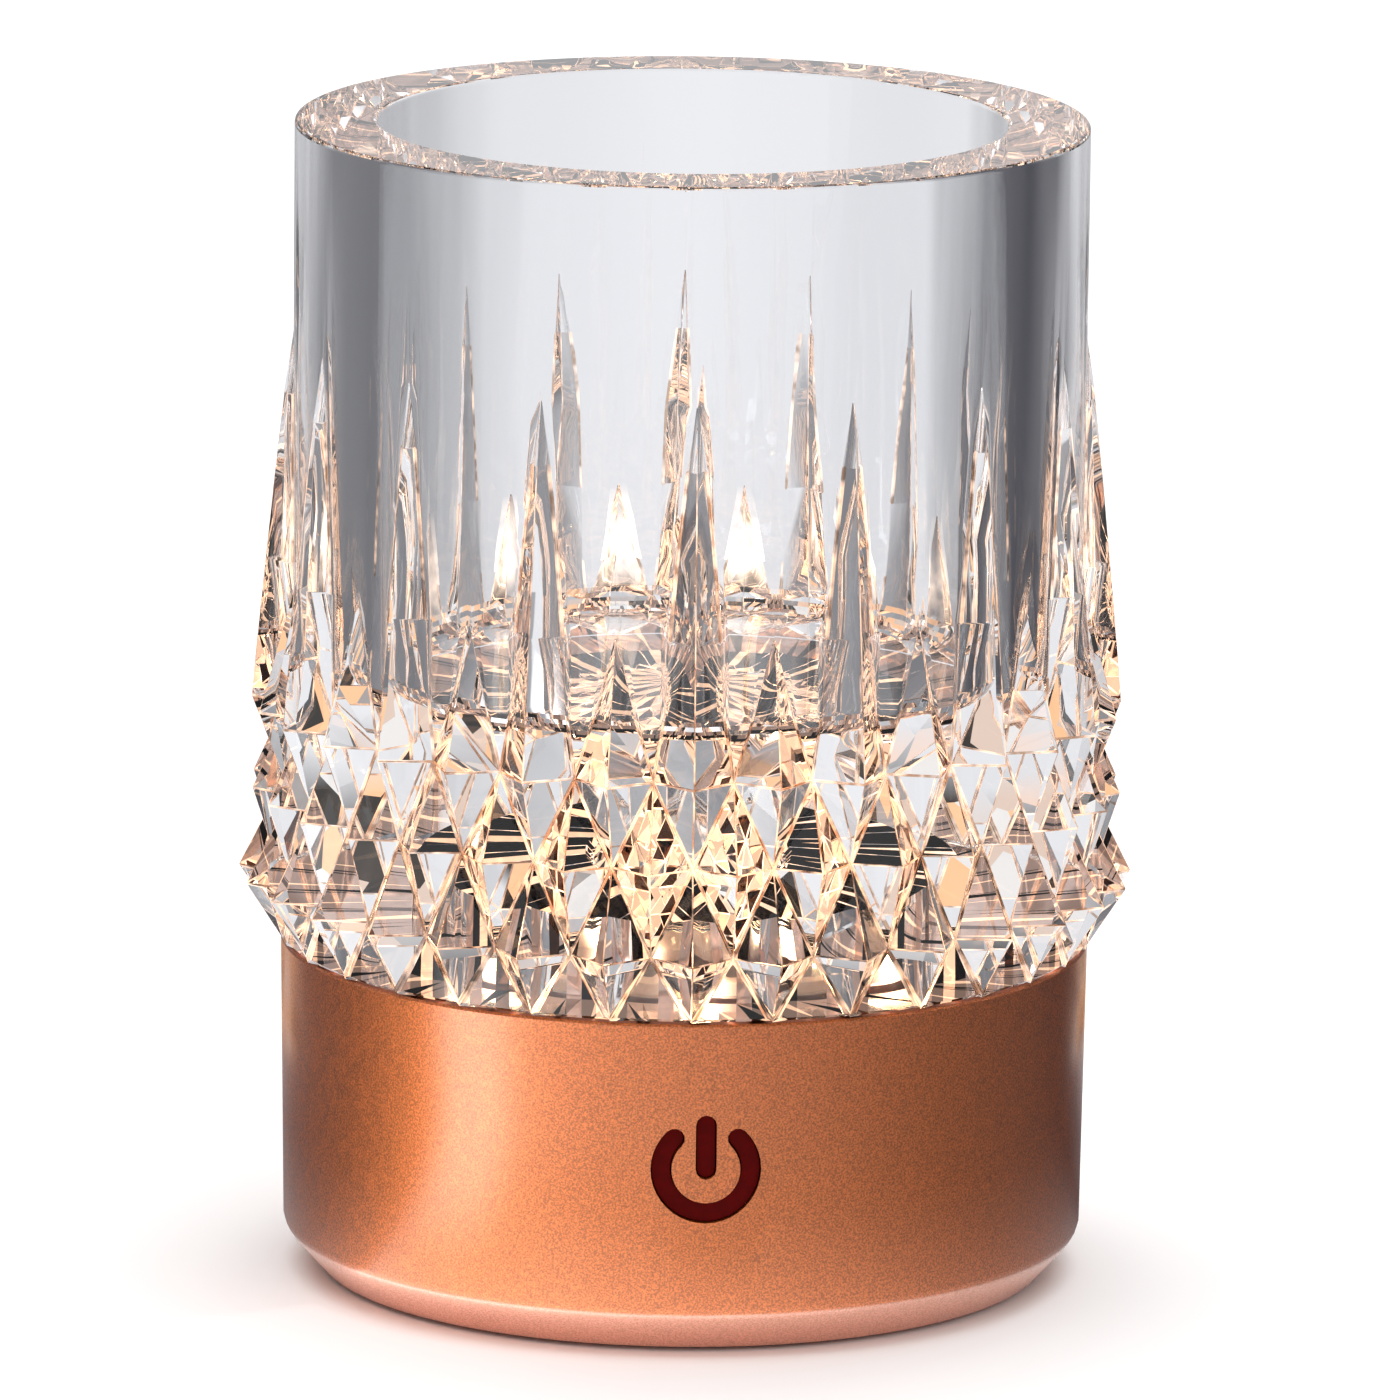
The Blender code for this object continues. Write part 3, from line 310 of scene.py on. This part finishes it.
def crystal_edge_material():
    """The narrow rounded bands along the cuts, with a warm glow painted on them and warm and brown tints
    painted in patches.

    The painted glow is strongest in the recess and the dome, and fades a little from the lowest row to the
    rim.
    """
    made = Recipe("crystal_edge_painted_glow")
    x, y, z = made.coordinates()
    height = made.spread(z, EDGE_GLOW_LOW, EDGE_GLOW_HIGH, ROW_LOW[0] * MM, RIM_TOP * MM)
    patch_noise = made.noise(420.0, detail=2.0)
    patch = made.spread(patch_noise, 0.05, 3.2, 0.42, 0.68)
    inside = made.spread(made.distance(x, y), EDGE_GLOW_INSIDE, 1.0, CEILING_RADIUS * MM,
                         (CEILING_RADIUS + 0.5) * MM)
    glow = made.math("MULTIPLY", height, patch)
    made.join(made.math("MULTIPLY", glow, inside), made.shader.inputs["Emission Strength"])
    # Painted light and shade: warm and dark brown tints, in the same patches as the glow
    made.color(patch_noise, (0.42, 0.19, 0.09), (1.0, 0.84, 0.72), 0.38, 0.56)
    made.set(Roughness=0.08, Transmission_Weight=1.0, IOR=CRYSTAL_IOR, Emission_Color=(1.0, 0.59, 0.36))
    return made.material


def painted_facet_material(name, color, glow, glow_color=PAINTED_GLOW_COLOR):
    """A facet with painted light: a mirror tinted to one part of the lamp's light, as a painted reflection,
    with a painted glow; a dark tint makes painted shade.
    """
    made = Recipe(name)
    dark = tuple(0.7 * channel for channel in color)
    made.color(made.noise(600.0), dark, color)
    # Painted reflection and glow: a tinted mirror that glows evenly
    made.set(Metallic=1.0, Roughness=0.06, Emission_Color=glow_color, Emission_Strength=glow)
    return made.material


def star_painted_shade_material():
    """Painted shade: a near-black finish on the star's cuts, between the dome and the LEDs."""
    made = Recipe("star_painted_shade")
    # Painted shade: near black, dull and without gloss
    made.color(made.noise(900.0), (0.006, 0.005, 0.005), (0.014, 0.011, 0.01))
    made.set(Roughness=1.0, Specular_IOR_Level=0.0)
    return made.material


def lamp_board_painted_glow_material():
    """Black solder resist, with a white ring under the LEDs and a glow painted on the ring round each of
    them.
    """
    made = Recipe("lamp_board")
    x, y, _ = made.coordinates()
    ring = made.spread(made.distance(x, y), 0.0, 1.0, WHITE_RING * MM, (WHITE_RING + 0.4) * MM)
    # Painted glow: a halo round each LED on the white ring, over an even painted glow
    turn = made.math("MULTIPLY", made.math("ARCTAN2", y, x), float(LED_COUNT))
    near = made.math("POWER", made.spread(made.math("COSINE", turn), 0.0, 1.0, -1.0, 1.0), 9.0)
    glow = made.math("ADD", made.math("MULTIPLY", near, HALO_GLOW), RING_GLOW)
    made.join(made.math("MULTIPLY", glow, ring), made.shader.inputs["Emission Strength"])
    grain = made.blend(made.noise(900.0), (0.012, 0.012, 0.012), (0.03, 0.03, 0.03))
    made.join(made.blend(ring, grain, (0.6, 0.42, 0.33)), made.shader.inputs["Base Color"])
    made.set(Roughness=0.4, Emission_Color=(1.0, 0.62, 0.4))
    return made.material


def copper_material():
    """Satin copper paint: fine metal flake under a thin clear coat, with a painted highlight on the chamfer,
    whose flake is lighter.
    """
    made = Recipe("copper")
    flake = made.noise(5200.0, detail=1.0)
    cloud = made.noise(700.0, detail=2.0)
    height = made.coordinates()[2]
    # Painted highlight: the flake is lighter on the chamfer
    chamfer = made.spread(height, 1.0, 0.0, CHAMFER_HIGHLIGHT_TOP * MM, (CHAMFER_HIGHLIGHT_TOP + 0.3) * MM)
    fleck = made.spread(flake, 0.0, 1.0, 0.35, 0.65)
    grain = made.blend(fleck, (0.42, 0.105, 0.014), (0.84, 0.22, 0.041))
    highlight_grain = made.blend(fleck, (0.72, 0.35, 0.23), (0.98, 0.5, 0.36))
    made.join(made.blend(chamfer, grain, highlight_grain), made.shader.inputs["Base Color"])
    made.rough(cloud, 0.46, 0.54)
    made.set(Metallic=1.0, Coat_Weight=1.0, Coat_Roughness=0.22, Coat_IOR=1.74)
    made.bump(flake, 0.02, 0.5)
    return made.material


def plain_material(name, low, high, roughness, grain=900.0, depth=0.02, **sockets):
    """Moulded plastic, rubber or lacquer: a fine grain in colour, gloss and height."""
    made = Recipe(name)
    grain_noise = made.noise(grain, detail=3.0)
    made.color(grain_noise, low, high)
    made.rough(grain_noise, roughness - 0.05, roughness + 0.07)
    made.set(**sockets)
    made.bump(grain_noise, depth, 0.4)
    return made.material


def metal_material(name, low, high, roughness):
    made = Recipe(name)
    brushed = made.noise(900.0, detail=2.0, stretch=(1.0, 1.0, 0.12))
    made.color(brushed, low, high)
    made.rough(brushed, roughness - 0.06, roughness + 0.1)
    made.set(Metallic=1.0)
    made.bump(brushed, 0.008, 0.4)
    return made.material


def led_material():
    made = Recipe("led")
    made.color(made.noise(1500.0), (1.0, 0.72, 0.3), (1.0, 0.8, 0.42))
    made.set(Roughness=0.3, Emission_Color=(1.0, 0.74, 0.42), Emission_Strength=LED_STRENGTH)
    return made.material


MATERIALS = {
    "crystal": crystal_material(),
    "crystal_edge_painted_glow": crystal_edge_material(),
    "copper": copper_material(),
    "led": led_material(),
    "star": star_painted_shade_material(),
    "facet_painted_gold_glint": painted_facet_material("facet_painted_gold_glint", (1.0, 0.68, 0.43), 1.05),
    "facet_painted_pale_glint": painted_facet_material("facet_painted_pale_glint", (1.0, 0.86, 0.74), 0.95),
    "facet_painted_pink_glow": painted_facet_material("facet_painted_pink_glow", (0.5, 0.36, 0.31), 0.22, (1.0, 0.62, 0.46)),
    "facet_painted_shade": painted_facet_material("facet_painted_shade", (0.12, 0.05, 0.025), 0.0),
    "spike": spike_painted_glow_material(),
    "lamp_board": lamp_board_painted_glow_material(),
    "aluminium": metal_material("aluminium", (0.7, 0.7, 0.71), (0.8, 0.8, 0.8), 0.35),
    "clear_plastic": plain_material("clear_plastic", (0.97, 0.97, 0.97), (1.0, 1.0, 1.0), 0.05, grain=200.0,
                                    depth=0.003, Transmission_Weight=1.0, IOR=1.45),
    "frosted": plain_material("frosted", (0.93, 0.92, 0.9), (0.97, 0.96, 0.94), 0.1,
                              Transmission_Weight=1.0, IOR=1.49),
    "silicone": plain_material("silicone", (0.7, 0.7, 0.7), (0.78, 0.78, 0.78), 0.4,
                               Transmission_Weight=0.3),
    "white_plastic": plain_material("white_plastic", (0.8, 0.79, 0.76), (0.86, 0.85, 0.82), 0.4),
    "black_plastic": plain_material("black_plastic", (0.018, 0.018, 0.019), (0.035, 0.035, 0.037), 0.5),
    "mark_red": plain_material("mark_red", (0.08, 0.0006, 0.0005), (0.1, 0.001, 0.0008), 0.6,
                               Specular_IOR_Level=0.05),
    "rubber": plain_material("rubber", (0.012, 0.012, 0.012), (0.028, 0.028, 0.028), 0.8),
    "steel": metal_material("steel", (0.5, 0.5, 0.51), (0.66, 0.66, 0.66), 0.28),
    "circuit_board": plain_material("circuit_board", (0.012, 0.1, 0.045), (0.02, 0.15, 0.07), 0.4),
    "battery_sleeve": plain_material("battery_sleeve", (0.05, 0.16, 0.36), (0.07, 0.2, 0.42), 0.3),
    "red_wire": plain_material("red_wire", (0.42, 0.015, 0.012), (0.52, 0.03, 0.02), 0.4),
    "black_wire": plain_material("black_wire", (0.012, 0.012, 0.012), (0.03, 0.03, 0.03), 0.4),
}


# ---------------------------------------------------------------- the crystal

def crystal_vertex(bm, radius, angle, height):
    return bm.verts.new(polar(radius, angle + PATTERN_TURN, height))


def spread_ring(bm, height, radius, sections=None):
    """A ring with, in each column, its spike's left, middle and right, then steps of plain wall."""
    if sections is None:
        sections = ((PLAIN_HALF_WIDTH, radius), (PLAIN_HALF_WIDTH, radius))
    ring = []
    for column in range(COLUMNS):
        half, ridge = sections[column % 2]
        half_angle = half / BODY_RADIUS
        next_half_angle = sections[(column + 1) % 2][0] / BODY_RADIUS
        middle = column * PITCH
        ring.append(crystal_vertex(bm, radius, middle - half_angle, height))
        ring.append(crystal_vertex(bm, ridge, middle, height))
        ring.append(crystal_vertex(bm, radius, middle + half_angle, height))
        gap = PITCH - half_angle - next_half_angle
        for step in range(1, PLAIN_STEPS):
            ring.append(crystal_vertex(bm, radius, middle + half_angle + gap * step / PLAIN_STEPS, height))
    return ring


def point_ring(bm, row, points_on_columns):
    """A ring with two vertices a column, a pyramid's point and the groove crossing beside it."""
    height, point_radius, groove_radius = row
    ring = []
    for half_column in range(2 * COLUMNS):
        is_point = (half_column % 2 == 0) == points_on_columns
        ring.append(crystal_vertex(bm, point_radius if is_point else groove_radius,
                                   half_column * PITCH / 2, height))
    return ring


def bridge(bm, lower, upper):
    for i, first in enumerate(lower):
        after = (i + 1) % len(lower)
        bm.faces.new((first, lower[after], upper[after], upper[i]))


def lattice_band(bm, lower, upper, points_on_columns_below):
    """Triangles between two point rings, split along the grooves."""
    for i in range(len(lower)):
        after = (i + 1) % len(lower)
        if (i % 2 == 0) == points_on_columns_below:
            bm.faces.new((lower[i], lower[after], upper[i]))
            bm.faces.new((lower[after], upper[after], upper[i]))
        else:
            bm.faces.new((lower[i], lower[after], upper[after]))
            bm.faces.new((lower[i], upper[after], upper[i]))


def spread_band(bm, points, spread, points_below):
    """Faces between a point ring, points on the columns, and a spread ring."""
    def face(*verts):
        bm.faces.new(verts if points_below else verts[::-1])

    for column in range(COLUMNS):
        before = points[2 * column - 1]
        point = points[2 * column]
        node = points[2 * column + 1]
        start = RING_STEP * column
        left, middle, right = spread[start:start + 3]
        wall = [spread[(start + 2 + step) % len(spread)] for step in range(PLAIN_STEPS + 1)]
        face(before, point, middle)
        face(before, middle, left)
        face(point, node, middle)
        face(node, right, middle)
        for near, far in zip(wall, wall[1:]):
            face(node, far, near)


def crystal_outside(bm):
    foot = spread_ring(bm, FOOT_PLANE + FOOT_EDGE, FOOT_RADIUS, (FOOT_TIP, FOOT_TIP))
    low = point_ring(bm, ROW_LOW, True)
    middle = point_ring(bm, ROW_MIDDLE, False)
    high = point_ring(bm, ROW_HIGH, True)
    spread_band(bm, low, foot, points_below=False)
    lattice_band(bm, low, middle, True)
    lattice_band(bm, middle, high, False)
    rings = []
    for (height, *tall), (_, *short) in zip(TALL_SPIKE, SHORT_SPIKE):
        rings.append(spread_ring(bm, height, BODY_RADIUS, (tall, short)))
    spread_band(bm, high, rings[0], points_below=True)
    rings.append(spread_ring(bm, RIM_TOP - RIM_ROUNDING, BODY_RADIUS))
    for lower, upper in zip(rings, rings[1:]):
        bridge(bm, lower, upper)
    return foot, rings[-1]


def arc(centre, radius, start, end, steps):
    """Points (radius, height) on an arc in the turning plane, without its first point."""
    found = []
    for step in range(1, steps + 1):
        angle = math.radians(start + (end - start) * step / steps)
        found.append((centre[0] + radius * math.cos(angle), centre[1] + radius * math.sin(angle)))
    return found


def crystal_inside(bm):
    """The rounded rim, the bore and the fillet at its floor."""
    profile = arc((BODY_RADIUS - RIM_ROUNDING, RIM_TOP - RIM_ROUNDING), RIM_ROUNDING, 0, 90, 4)
    inner_edge = (BORE_RADIUS + RIM_ROUNDING, RIM_TOP - RIM_ROUNDING)
    profile += [(inner_edge[0], RIM_TOP)]
    profile += arc(inner_edge, RIM_ROUNDING, 90, 180, 4)
    fillet = (BORE_RADIUS - BORE_FILLET, BORE_FLOOR + BORE_FILLET)
    profile += [(BORE_RADIUS, fillet[1])]
    profile += arc(fillet, BORE_FILLET, 0, -90, 8)
    return [spread_ring(bm, height, radius) for radius, height in profile]


def even_ring(bm, count, height, radius, swing=0.0, rise=0.0):
    """Evenly spaced vertices, which stand out and in by swing by turns. Every other one is up by rise."""
    ring = []
    # Four a column start at the first column's left, where a spread ring starts too
    first = -PITCH / 4 if count == 4 * COLUMNS else 0.0
    for i in range(count):
        odd = i % 2
        ring.append(crystal_vertex(bm, radius + (-swing if odd else swing), first + 2 * math.pi * i / count,
                                   height + rise * odd))
    return ring


def halve(bm, outer, inner):
    """Faces from a ring to one with half as many vertices."""
    for i, near in enumerate(inner):
        after = inner[(i + 1) % len(inner)]
        far = [outer[(2 * i + step) % len(outer)] for step in range(3)]
        bm.faces.new((near, far[0], far[1]))
        bm.faces.new((near, far[1], far[2]))
        bm.faces.new((near, far[2], after))


def cap(bm, ring, height):
    """Close a ring with a fan to a vertex on the axis."""
    centre = bm.verts.new((0.0, 0.0, height * MM))
    for i, vert in enumerate(ring):
        bm.faces.new((vert, ring[(i + 1) % len(ring)], centre))


def crystal_underside(bm, foot):
    """From the foot's edge: the flat foot, the recess, the star in its ceiling and the cut dome."""
    edge = spread_ring(bm, FOOT_PLANE, FOOT_RADIUS - FOOT_EDGE)
    bridge(bm, edge, foot)
    around_star = 4 * COLUMNS
    rings = [even_ring(bm, around_star, FOOT_PLANE, RECESS_RADIUS),
             even_ring(bm, around_star, CEILING, CEILING_RADIUS),
             even_ring(bm, around_star, CEILING, STAR_RADIUS, rise=STAR_DEPTH)]
    halve(bm, edge, rings[0])
    for outer, inner in zip(rings, rings[1:]):
        bridge(bm, inner, outer)
    mouth = even_ring(bm, 2 * COLUMNS, CEILING, DOME_MOUTH_RADIUS)
    halve(bm, rings[-1], mouth)
    levels = [mouth]
    for number, (height, radius, swing) in enumerate(DOME):
        levels.append(even_ring(bm, 2 * COLUMNS, height, radius, -swing if number % 2 == 0 else swing))
    for number, (lower, upper) in enumerate(zip(levels, levels[1:])):
        lattice_band(bm, lower, upper, number % 2 == 0)
    cap(bm, levels[-1], DOME_TOP)


CRYSTAL_FINISHES = ("crystal", "crystal_edge_painted_glow", "star", "facet_painted_gold_glint", "facet_painted_pale_glint", "facet_painted_shade", "facet_painted_pink_glow",
                    "spike")
# The painted reflections, glows and shade that neighbouring facets of the underside take. Each facet takes
# the finish that stands so many places after its neighbour's, so that the pattern doesn't show.
UNDERSIDE_FACETS = {
    "star": (1, ("star", "star", "star", "facet_painted_gold_glint", "star", "star", "star", "star")),
    "dome": (3, ("facet_painted_gold_glint", "crystal", "facet_painted_pale_glint", "facet_painted_gold_glint", "facet_painted_shade", "facet_painted_gold_glint", "crystal",
                 "facet_painted_gold_glint", "facet_painted_shade", "facet_painted_pale_glint", "facet_painted_shade")),
    "foot": (3, ("facet_painted_pink_glow", "facet_painted_pink_glow", "facet_painted_pink_glow", "facet_painted_shade", "facet_painted_pink_glow", "facet_painted_pink_glow",
                 "facet_painted_pink_glow", "facet_painted_pink_glow", "facet_painted_gold_glint", "facet_painted_pink_glow", "star", "facet_painted_pink_glow", "facet_painted_pink_glow")),
    "wall": (3, ("crystal", "crystal", "star", "crystal", "facet_painted_pink_glow", "facet_painted_gold_glint", "crystal", "crystal",
                 "star", "crystal", "facet_painted_shade", "crystal", "facet_painted_pink_glow")),
}


def underside_zone(middle):
    """The part of the underside that a facet lies in, or None."""
    radius = middle.xy.length
    if middle.z > DOME_TOP or radius > FOOT_RADIUS - MARGIN:
        return None
    if middle.z > CEILING + MARGIN and radius > STAR_RADIUS:
        return None
    if middle.z > CEILING - NEAR:
        return "star" if radius > DOME_MOUTH_RADIUS else "dome"
    return "foot" if middle.z < FOOT_PLANE + NEAR else "wall"


def on_short_spike(middle):
    """Whether a facet lies on one of the short spikes, which stand on the odd columns."""
    height_fits = SPIKE_GLOW_FROM < middle.z < SHORT_SPIKE[1][0]
    if not height_fits or middle.xy.length <= BODY_RADIUS - MARGIN:
        return False
    turn = (math.atan2(middle.y, middle.x) - PATTERN_TURN) / PITCH
    column = round(turn)
    return column % 2 == 1 and abs(turn - column) * PITCH * BODY_RADIUS < SHORT_SPIKE[0][1]


def paint_facet_light_and_shade(bm):
    """Paint shade on the star, a glow on the short spikes, and painted reflections, glows and shade on other
    facets of the underside.
    """
    count = dict.fromkeys(UNDERSIDE_FACETS, 0)
    for face in bm.faces:
        middle = face.calc_center_median() / MM
        zone = underside_zone(middle)
        # The short spikes take the painted glow
        finish = "spike" if on_short_spike(middle) else "crystal"
        if zone:
            stride, pattern = UNDERSIDE_FACETS[zone]
            finish = pattern[count[zone] * stride % len(pattern)]
            count[zone] += 1
        face.material_index = CRYSTAL_FINISHES.index(finish)


def edge_weight(edge):
    """How far the polish rounds an edge, where 0 leaves it sharp."""
    low, high = sorted(vert.co.z / MM for vert in edge.verts)
    inner, outer = sorted(vert.co.xy.length / MM for vert in edge.verts)
    if low > CEILING - NEAR and outer < CEILING_RADIUS + NEAR:
        if inner <= STAR_RADIUS - NEAR:
            return DOME_WEIGHT if high < DOME_ROUNDED_BELOW else 0.0
        middle = edge.verts[0].co + edge.verts[1].co
        turn = (math.atan2(middle.y, middle.x) - PATTERN_TURN) / (PITCH / 4)
        return 0.0 if round(turn) % STAR_ROUNDED_EVERY else STAR_WEIGHT
    if inner < BODY_RADIUS - MARGIN or high < FOOT_PLANE + MARGIN or high > TALL_SPIKE[-2][0] + MARGIN:
        return 0.0
    if SHORT_SPIKE[0][0] + MARGIN < high < SHORT_SPIKE[1][0] + MARGIN and outer < SHORT_RIDGE_RADIUS:
        return 0.0
    return RIDGE_WEIGHT if edge.is_convex else GROOVE_WEIGHT


def mark_edges(bm):
    """Sharpen the cut edges, and weigh how far each is rounded."""
    weight = bm.edges.layers.float.new("bevel_weight_edge")
    for edge in bm.edges:
        if edge.calc_face_angle(0.0) >= SHARP_ANGLE:
            edge.smooth = False
            edge[weight] = edge_weight(edge)


def crystal_vessel():
    bm = bmesh.new()
    foot, rim = crystal_outside(bm)
    inside = [rim] + crystal_inside(bm)
    for outer, inner in zip(inside, inside[1:]):
        bridge(bm, outer, inner)
    cap(bm, inside[-1], BORE_FLOOR)
    crystal_underside(bm, foot)
    bmesh.ops.recalc_face_normals(bm, faces=bm.faces)
    paint_facet_light_and_shade(bm)
    mark_edges(bm)
    vessel = mesh_object("crystal_body", bm, MATERIALS["crystal"])
    for finish in CRYSTAL_FINISHES[1:]:
        vessel.data.materials.append(MATERIALS[finish])
    edges = vessel.modifiers.new("Polished edges", "BEVEL")
    edges.limit_method = "WEIGHT"
    edges.width = EDGE_ROUNDING * MM
    edges.segments = 2
    edges.use_clamp_overlap = False
    edges.material = CRYSTAL_FINISHES.index("crystal_edge_painted_glow")
    edges.miter_outer = "MITER_SHARP"
    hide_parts("crystal_vessel")
    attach(vessel, "vessel")


# ---------------------------------------------------------------- the base: CAD nodes, refined

SLOTS = {node: obj.data.materials[0].name.split(".")[0] for node, obj in NODES.items()}


def refined(node):
    """A finer copy of a CAD node: welded, smooth but for its sharp edges, which are softened."""
    source = NODES[node]
    bm = bmesh.new()
    bm.from_mesh(source.data)
    bmesh.ops.remove_doubles(bm, verts=bm.verts, dist=0.002 * MM)
    bmesh.ops.dissolve_limit(bm, angle_limit=math.radians(0.4), verts=bm.verts, edges=bm.edges)
    for edge in bm.edges:
        edge.smooth = edge.calc_face_angle(0.0) < SOFT_ANGLE
    slot = SLOTS[node]
    piece = mesh_object(node + "_fine", bm, MATERIALS[slot])
    soft = piece.modifiers.new("Soft edges", "BEVEL")
    soft.width = SOFT_EDGE * MM
    soft.segments = 2
    soft.limit_method = "ANGLE"
    soft.angle_limit = SOFT_ANGLE
    soft.harden_normals = True
    soft.use_clamp_overlap = True
    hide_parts(node)
    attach(piece, "base")


def base():
    for node in NODES:
        if node != "crystal_vessel":
            refined(node)


# ---------------------------------------------------------------- camera and studio

def camera():
    azimuth, elevation, roll = (math.radians(v) for v in (CAMERA_AZIMUTH, CAMERA_ELEVATION, CAMERA_ROLL))
    back = Vector((math.sin(azimuth) * math.cos(elevation), -math.cos(azimuth) * math.cos(elevation),
                   math.sin(elevation)))
    level_right = Vector((math.cos(azimuth), math.sin(azimuth), 0.0))
    level_up = back.cross(level_right)
    right = math.cos(roll) * level_right + math.sin(roll) * level_up
    up = math.cos(roll) * level_up - math.sin(roll) * level_right
    target = (level_right * TARGET_SIDE + Vector((0.0, 0.0, TARGET_HEIGHT))) * MM
    data = bpy.data.cameras.new("Camera")
    data.lens = CAMERA_LENS
    data.sensor_width = 36.0
    data.clip_start = 50.0 * MM
    data.clip_end = 20000.0 * MM
    seen_from = link(bpy.data.objects.new("Camera", data))
    turn = Matrix((right, up, back)).transposed().to_4x4()
    seen_from.matrix_world = Matrix.Translation(target + back * CAMERA_DISTANCE * MM) @ turn
    bpy.context.scene.camera = seen_from


def floor():
    bm = bmesh.new()
    bmesh.ops.create_circle(bm, cap_ends=True, segments=96, radius=FLOOR_RADIUS * MM)
    made = Recipe("studio_floor")
    made.color(made.noise(6.0), (0.94, 0.94, 0.94), (0.96, 0.96, 0.96))
    made.set(Roughness=0.7, Specular_IOR_Level=0.2)
    mesh_object("studio_floor", bm, made.material)


def tent_material():
    """The tent's own graded light, and low behind the lamp the cards."""
    made = Recipe("studio_tent")
    made.set(Base_Color=(0.0, 0.0, 0.0), Roughness=1.0, Specular_IOR_Level=0.0, Emission_Strength=1.0)
    shade = made.node("ShaderNodeVertexColor", layer_name="light").outputs["Color"]
    _, y, z = made.coordinates()
    off_floor = made.spread(z, 0.0, 1.0, *(edge * MM for edge in CARDS_ABOVE))
    below = made.spread(z, 1.0, 0.0, *(edge * MM for edge in CARDS_BELOW))
    low = made.math("MULTIPLY", below, off_floor)
    behind = made.spread(y, 0.0, 1.0, *(edge * MM for edge in CARDS_BEHIND))
    cells = made.node("ShaderNodeTexVoronoi")
    cells.inputs["Scale"].default_value = CARDS_PER_METRE
    made.join(made.place, cells.inputs["Vector"])
    pick = made.node("ShaderNodeSeparateColor")
    made.join(cells.outputs["Color"], pick.inputs["Color"])
    cards = made.node("ShaderNodeValToRGB")
    stops = cards.color_ramp.elements
    cards.color_ramp.interpolation = "CONSTANT"
    while len(stops) < len(CARD_COLORS):
        stops.new(1.0)
    for stop, (place, color) in zip(stops, CARD_COLORS):
        stop.position = place
        stop.color = (*color, 1.0)
    made.join(pick.outputs["Red"], cards.inputs["Fac"])
    light = made.blend(made.math("MULTIPLY", low, behind), shade, cards.outputs["Color"])
    made.join(light, made.shader.inputs["Emission Color"])
    return made.material


def tent_level(degrees):
    """The tent's brightness in this direction, read off TENT_LIGHT."""
    for (start, dim), (end, bright) in zip(TENT_LIGHT, TENT_LIGHT[1:]):
        if start <= degrees <= end:
            return dim + (bright - dim) * (degrees - start) / (end - start)
    raise ValueError(f"TENT_LIGHT leaves out {degrees} degrees")


def light_tent():
    """A graded wall round the lamp. It shows only in glass and in metal."""
    bm = bmesh.new()
    light = bm.verts.layers.float_color.new("light")
    columns = []
    for step in range(TENT_STEPS):
        degrees = 360 * step / TENT_STEPS - 180
        level = tent_level(degrees)
        column = []
        for radius, height, share, most in TENT_RINGS:
            glow = min(level, most) * share
            warm = TENT_WARM_SHARE * glow
            column.append(bm.verts.new(polar(radius, math.radians(degrees - 90), height)))
            column[-1][light] = (warm, warm, glow + TENT_BLUE, 1.0)
        columns.append(column)
    roof = bm.verts.new((0.0, 0.0, TENT_HEIGHT * MM))
    roof[light] = (TENT_ROOF, TENT_ROOF, TENT_ROOF, 1.0)
    for column, after in zip(columns, columns[1:] + columns[:1]):
        for i in range(len(TENT_RINGS) - 1):
            bm.faces.new((column[i], after[i], after[i + 1], column[i + 1]))
    for column, after in zip(columns, columns[1:] + columns[:1]):
        bm.faces.new((column[-1], after[-1], roof))
    tent = mesh_object("studio_tent", bm, tent_material())
    tent.visible_camera = False
    tent.visible_diffuse = False
    tent.visible_shadow = False


def softbox(name, azimuth, elevation, distance, width, height, power):
    """A rectangular light aimed at the middle of the lamp. Azimuth 0 is in front of it."""
    data = bpy.data.lights.new(name, "AREA")
    data.shape = "RECTANGLE"
    data.size, data.size_y = width * MM, height * MM
    data.energy = power
    light = link(bpy.data.objects.new(name, data))
    a, e = math.radians(azimuth), math.radians(elevation)
    away = Vector((math.sin(a) * math.cos(e), -math.cos(a) * math.cos(e), math.sin(e)))
    light.location = (away * distance + Vector((0.0, 0.0, TARGET_HEIGHT))) * MM
    light.rotation_mode = "QUATERNION"
    light.rotation_quaternion = away.to_track_quat("Z", "Y")
    light.visible_camera = False


def studio():
    world = bpy.data.worlds.new("Studio")
    world.use_nodes = True
    bpy.context.scene.world = world
    tree = world.node_tree
    background = tree.nodes["Background"]
    background.inputs["Color"].default_value = (1.0, 1.0, 1.0, 1.0)
    background.inputs["Strength"].default_value = 0.35
    softbox("top", azimuth=180, elevation=78, distance=1900, width=2600, height=2600, power=56.0)
    softbox("front", azimuth=30, elevation=36, distance=1900, width=2000, height=2000, power=11.0)
    scene = bpy.context.scene
    scene.view_settings.view_transform = "Standard"
    scene.cycles.use_denoising = True
    scene.cycles.max_bounces = 32
    scene.cycles.transmission_bounces = 32
    scene.cycles.glossy_bounces = 12
    scene.cycles.diffuse_bounces = 3
    scene.cycles.sample_clamp_indirect = 8.0
    scene.cycles.caustics_reflective = True
    scene.cycles.caustics_refractive = True


crystal_vessel()
base()
camera()
floor()
light_tent()
studio()
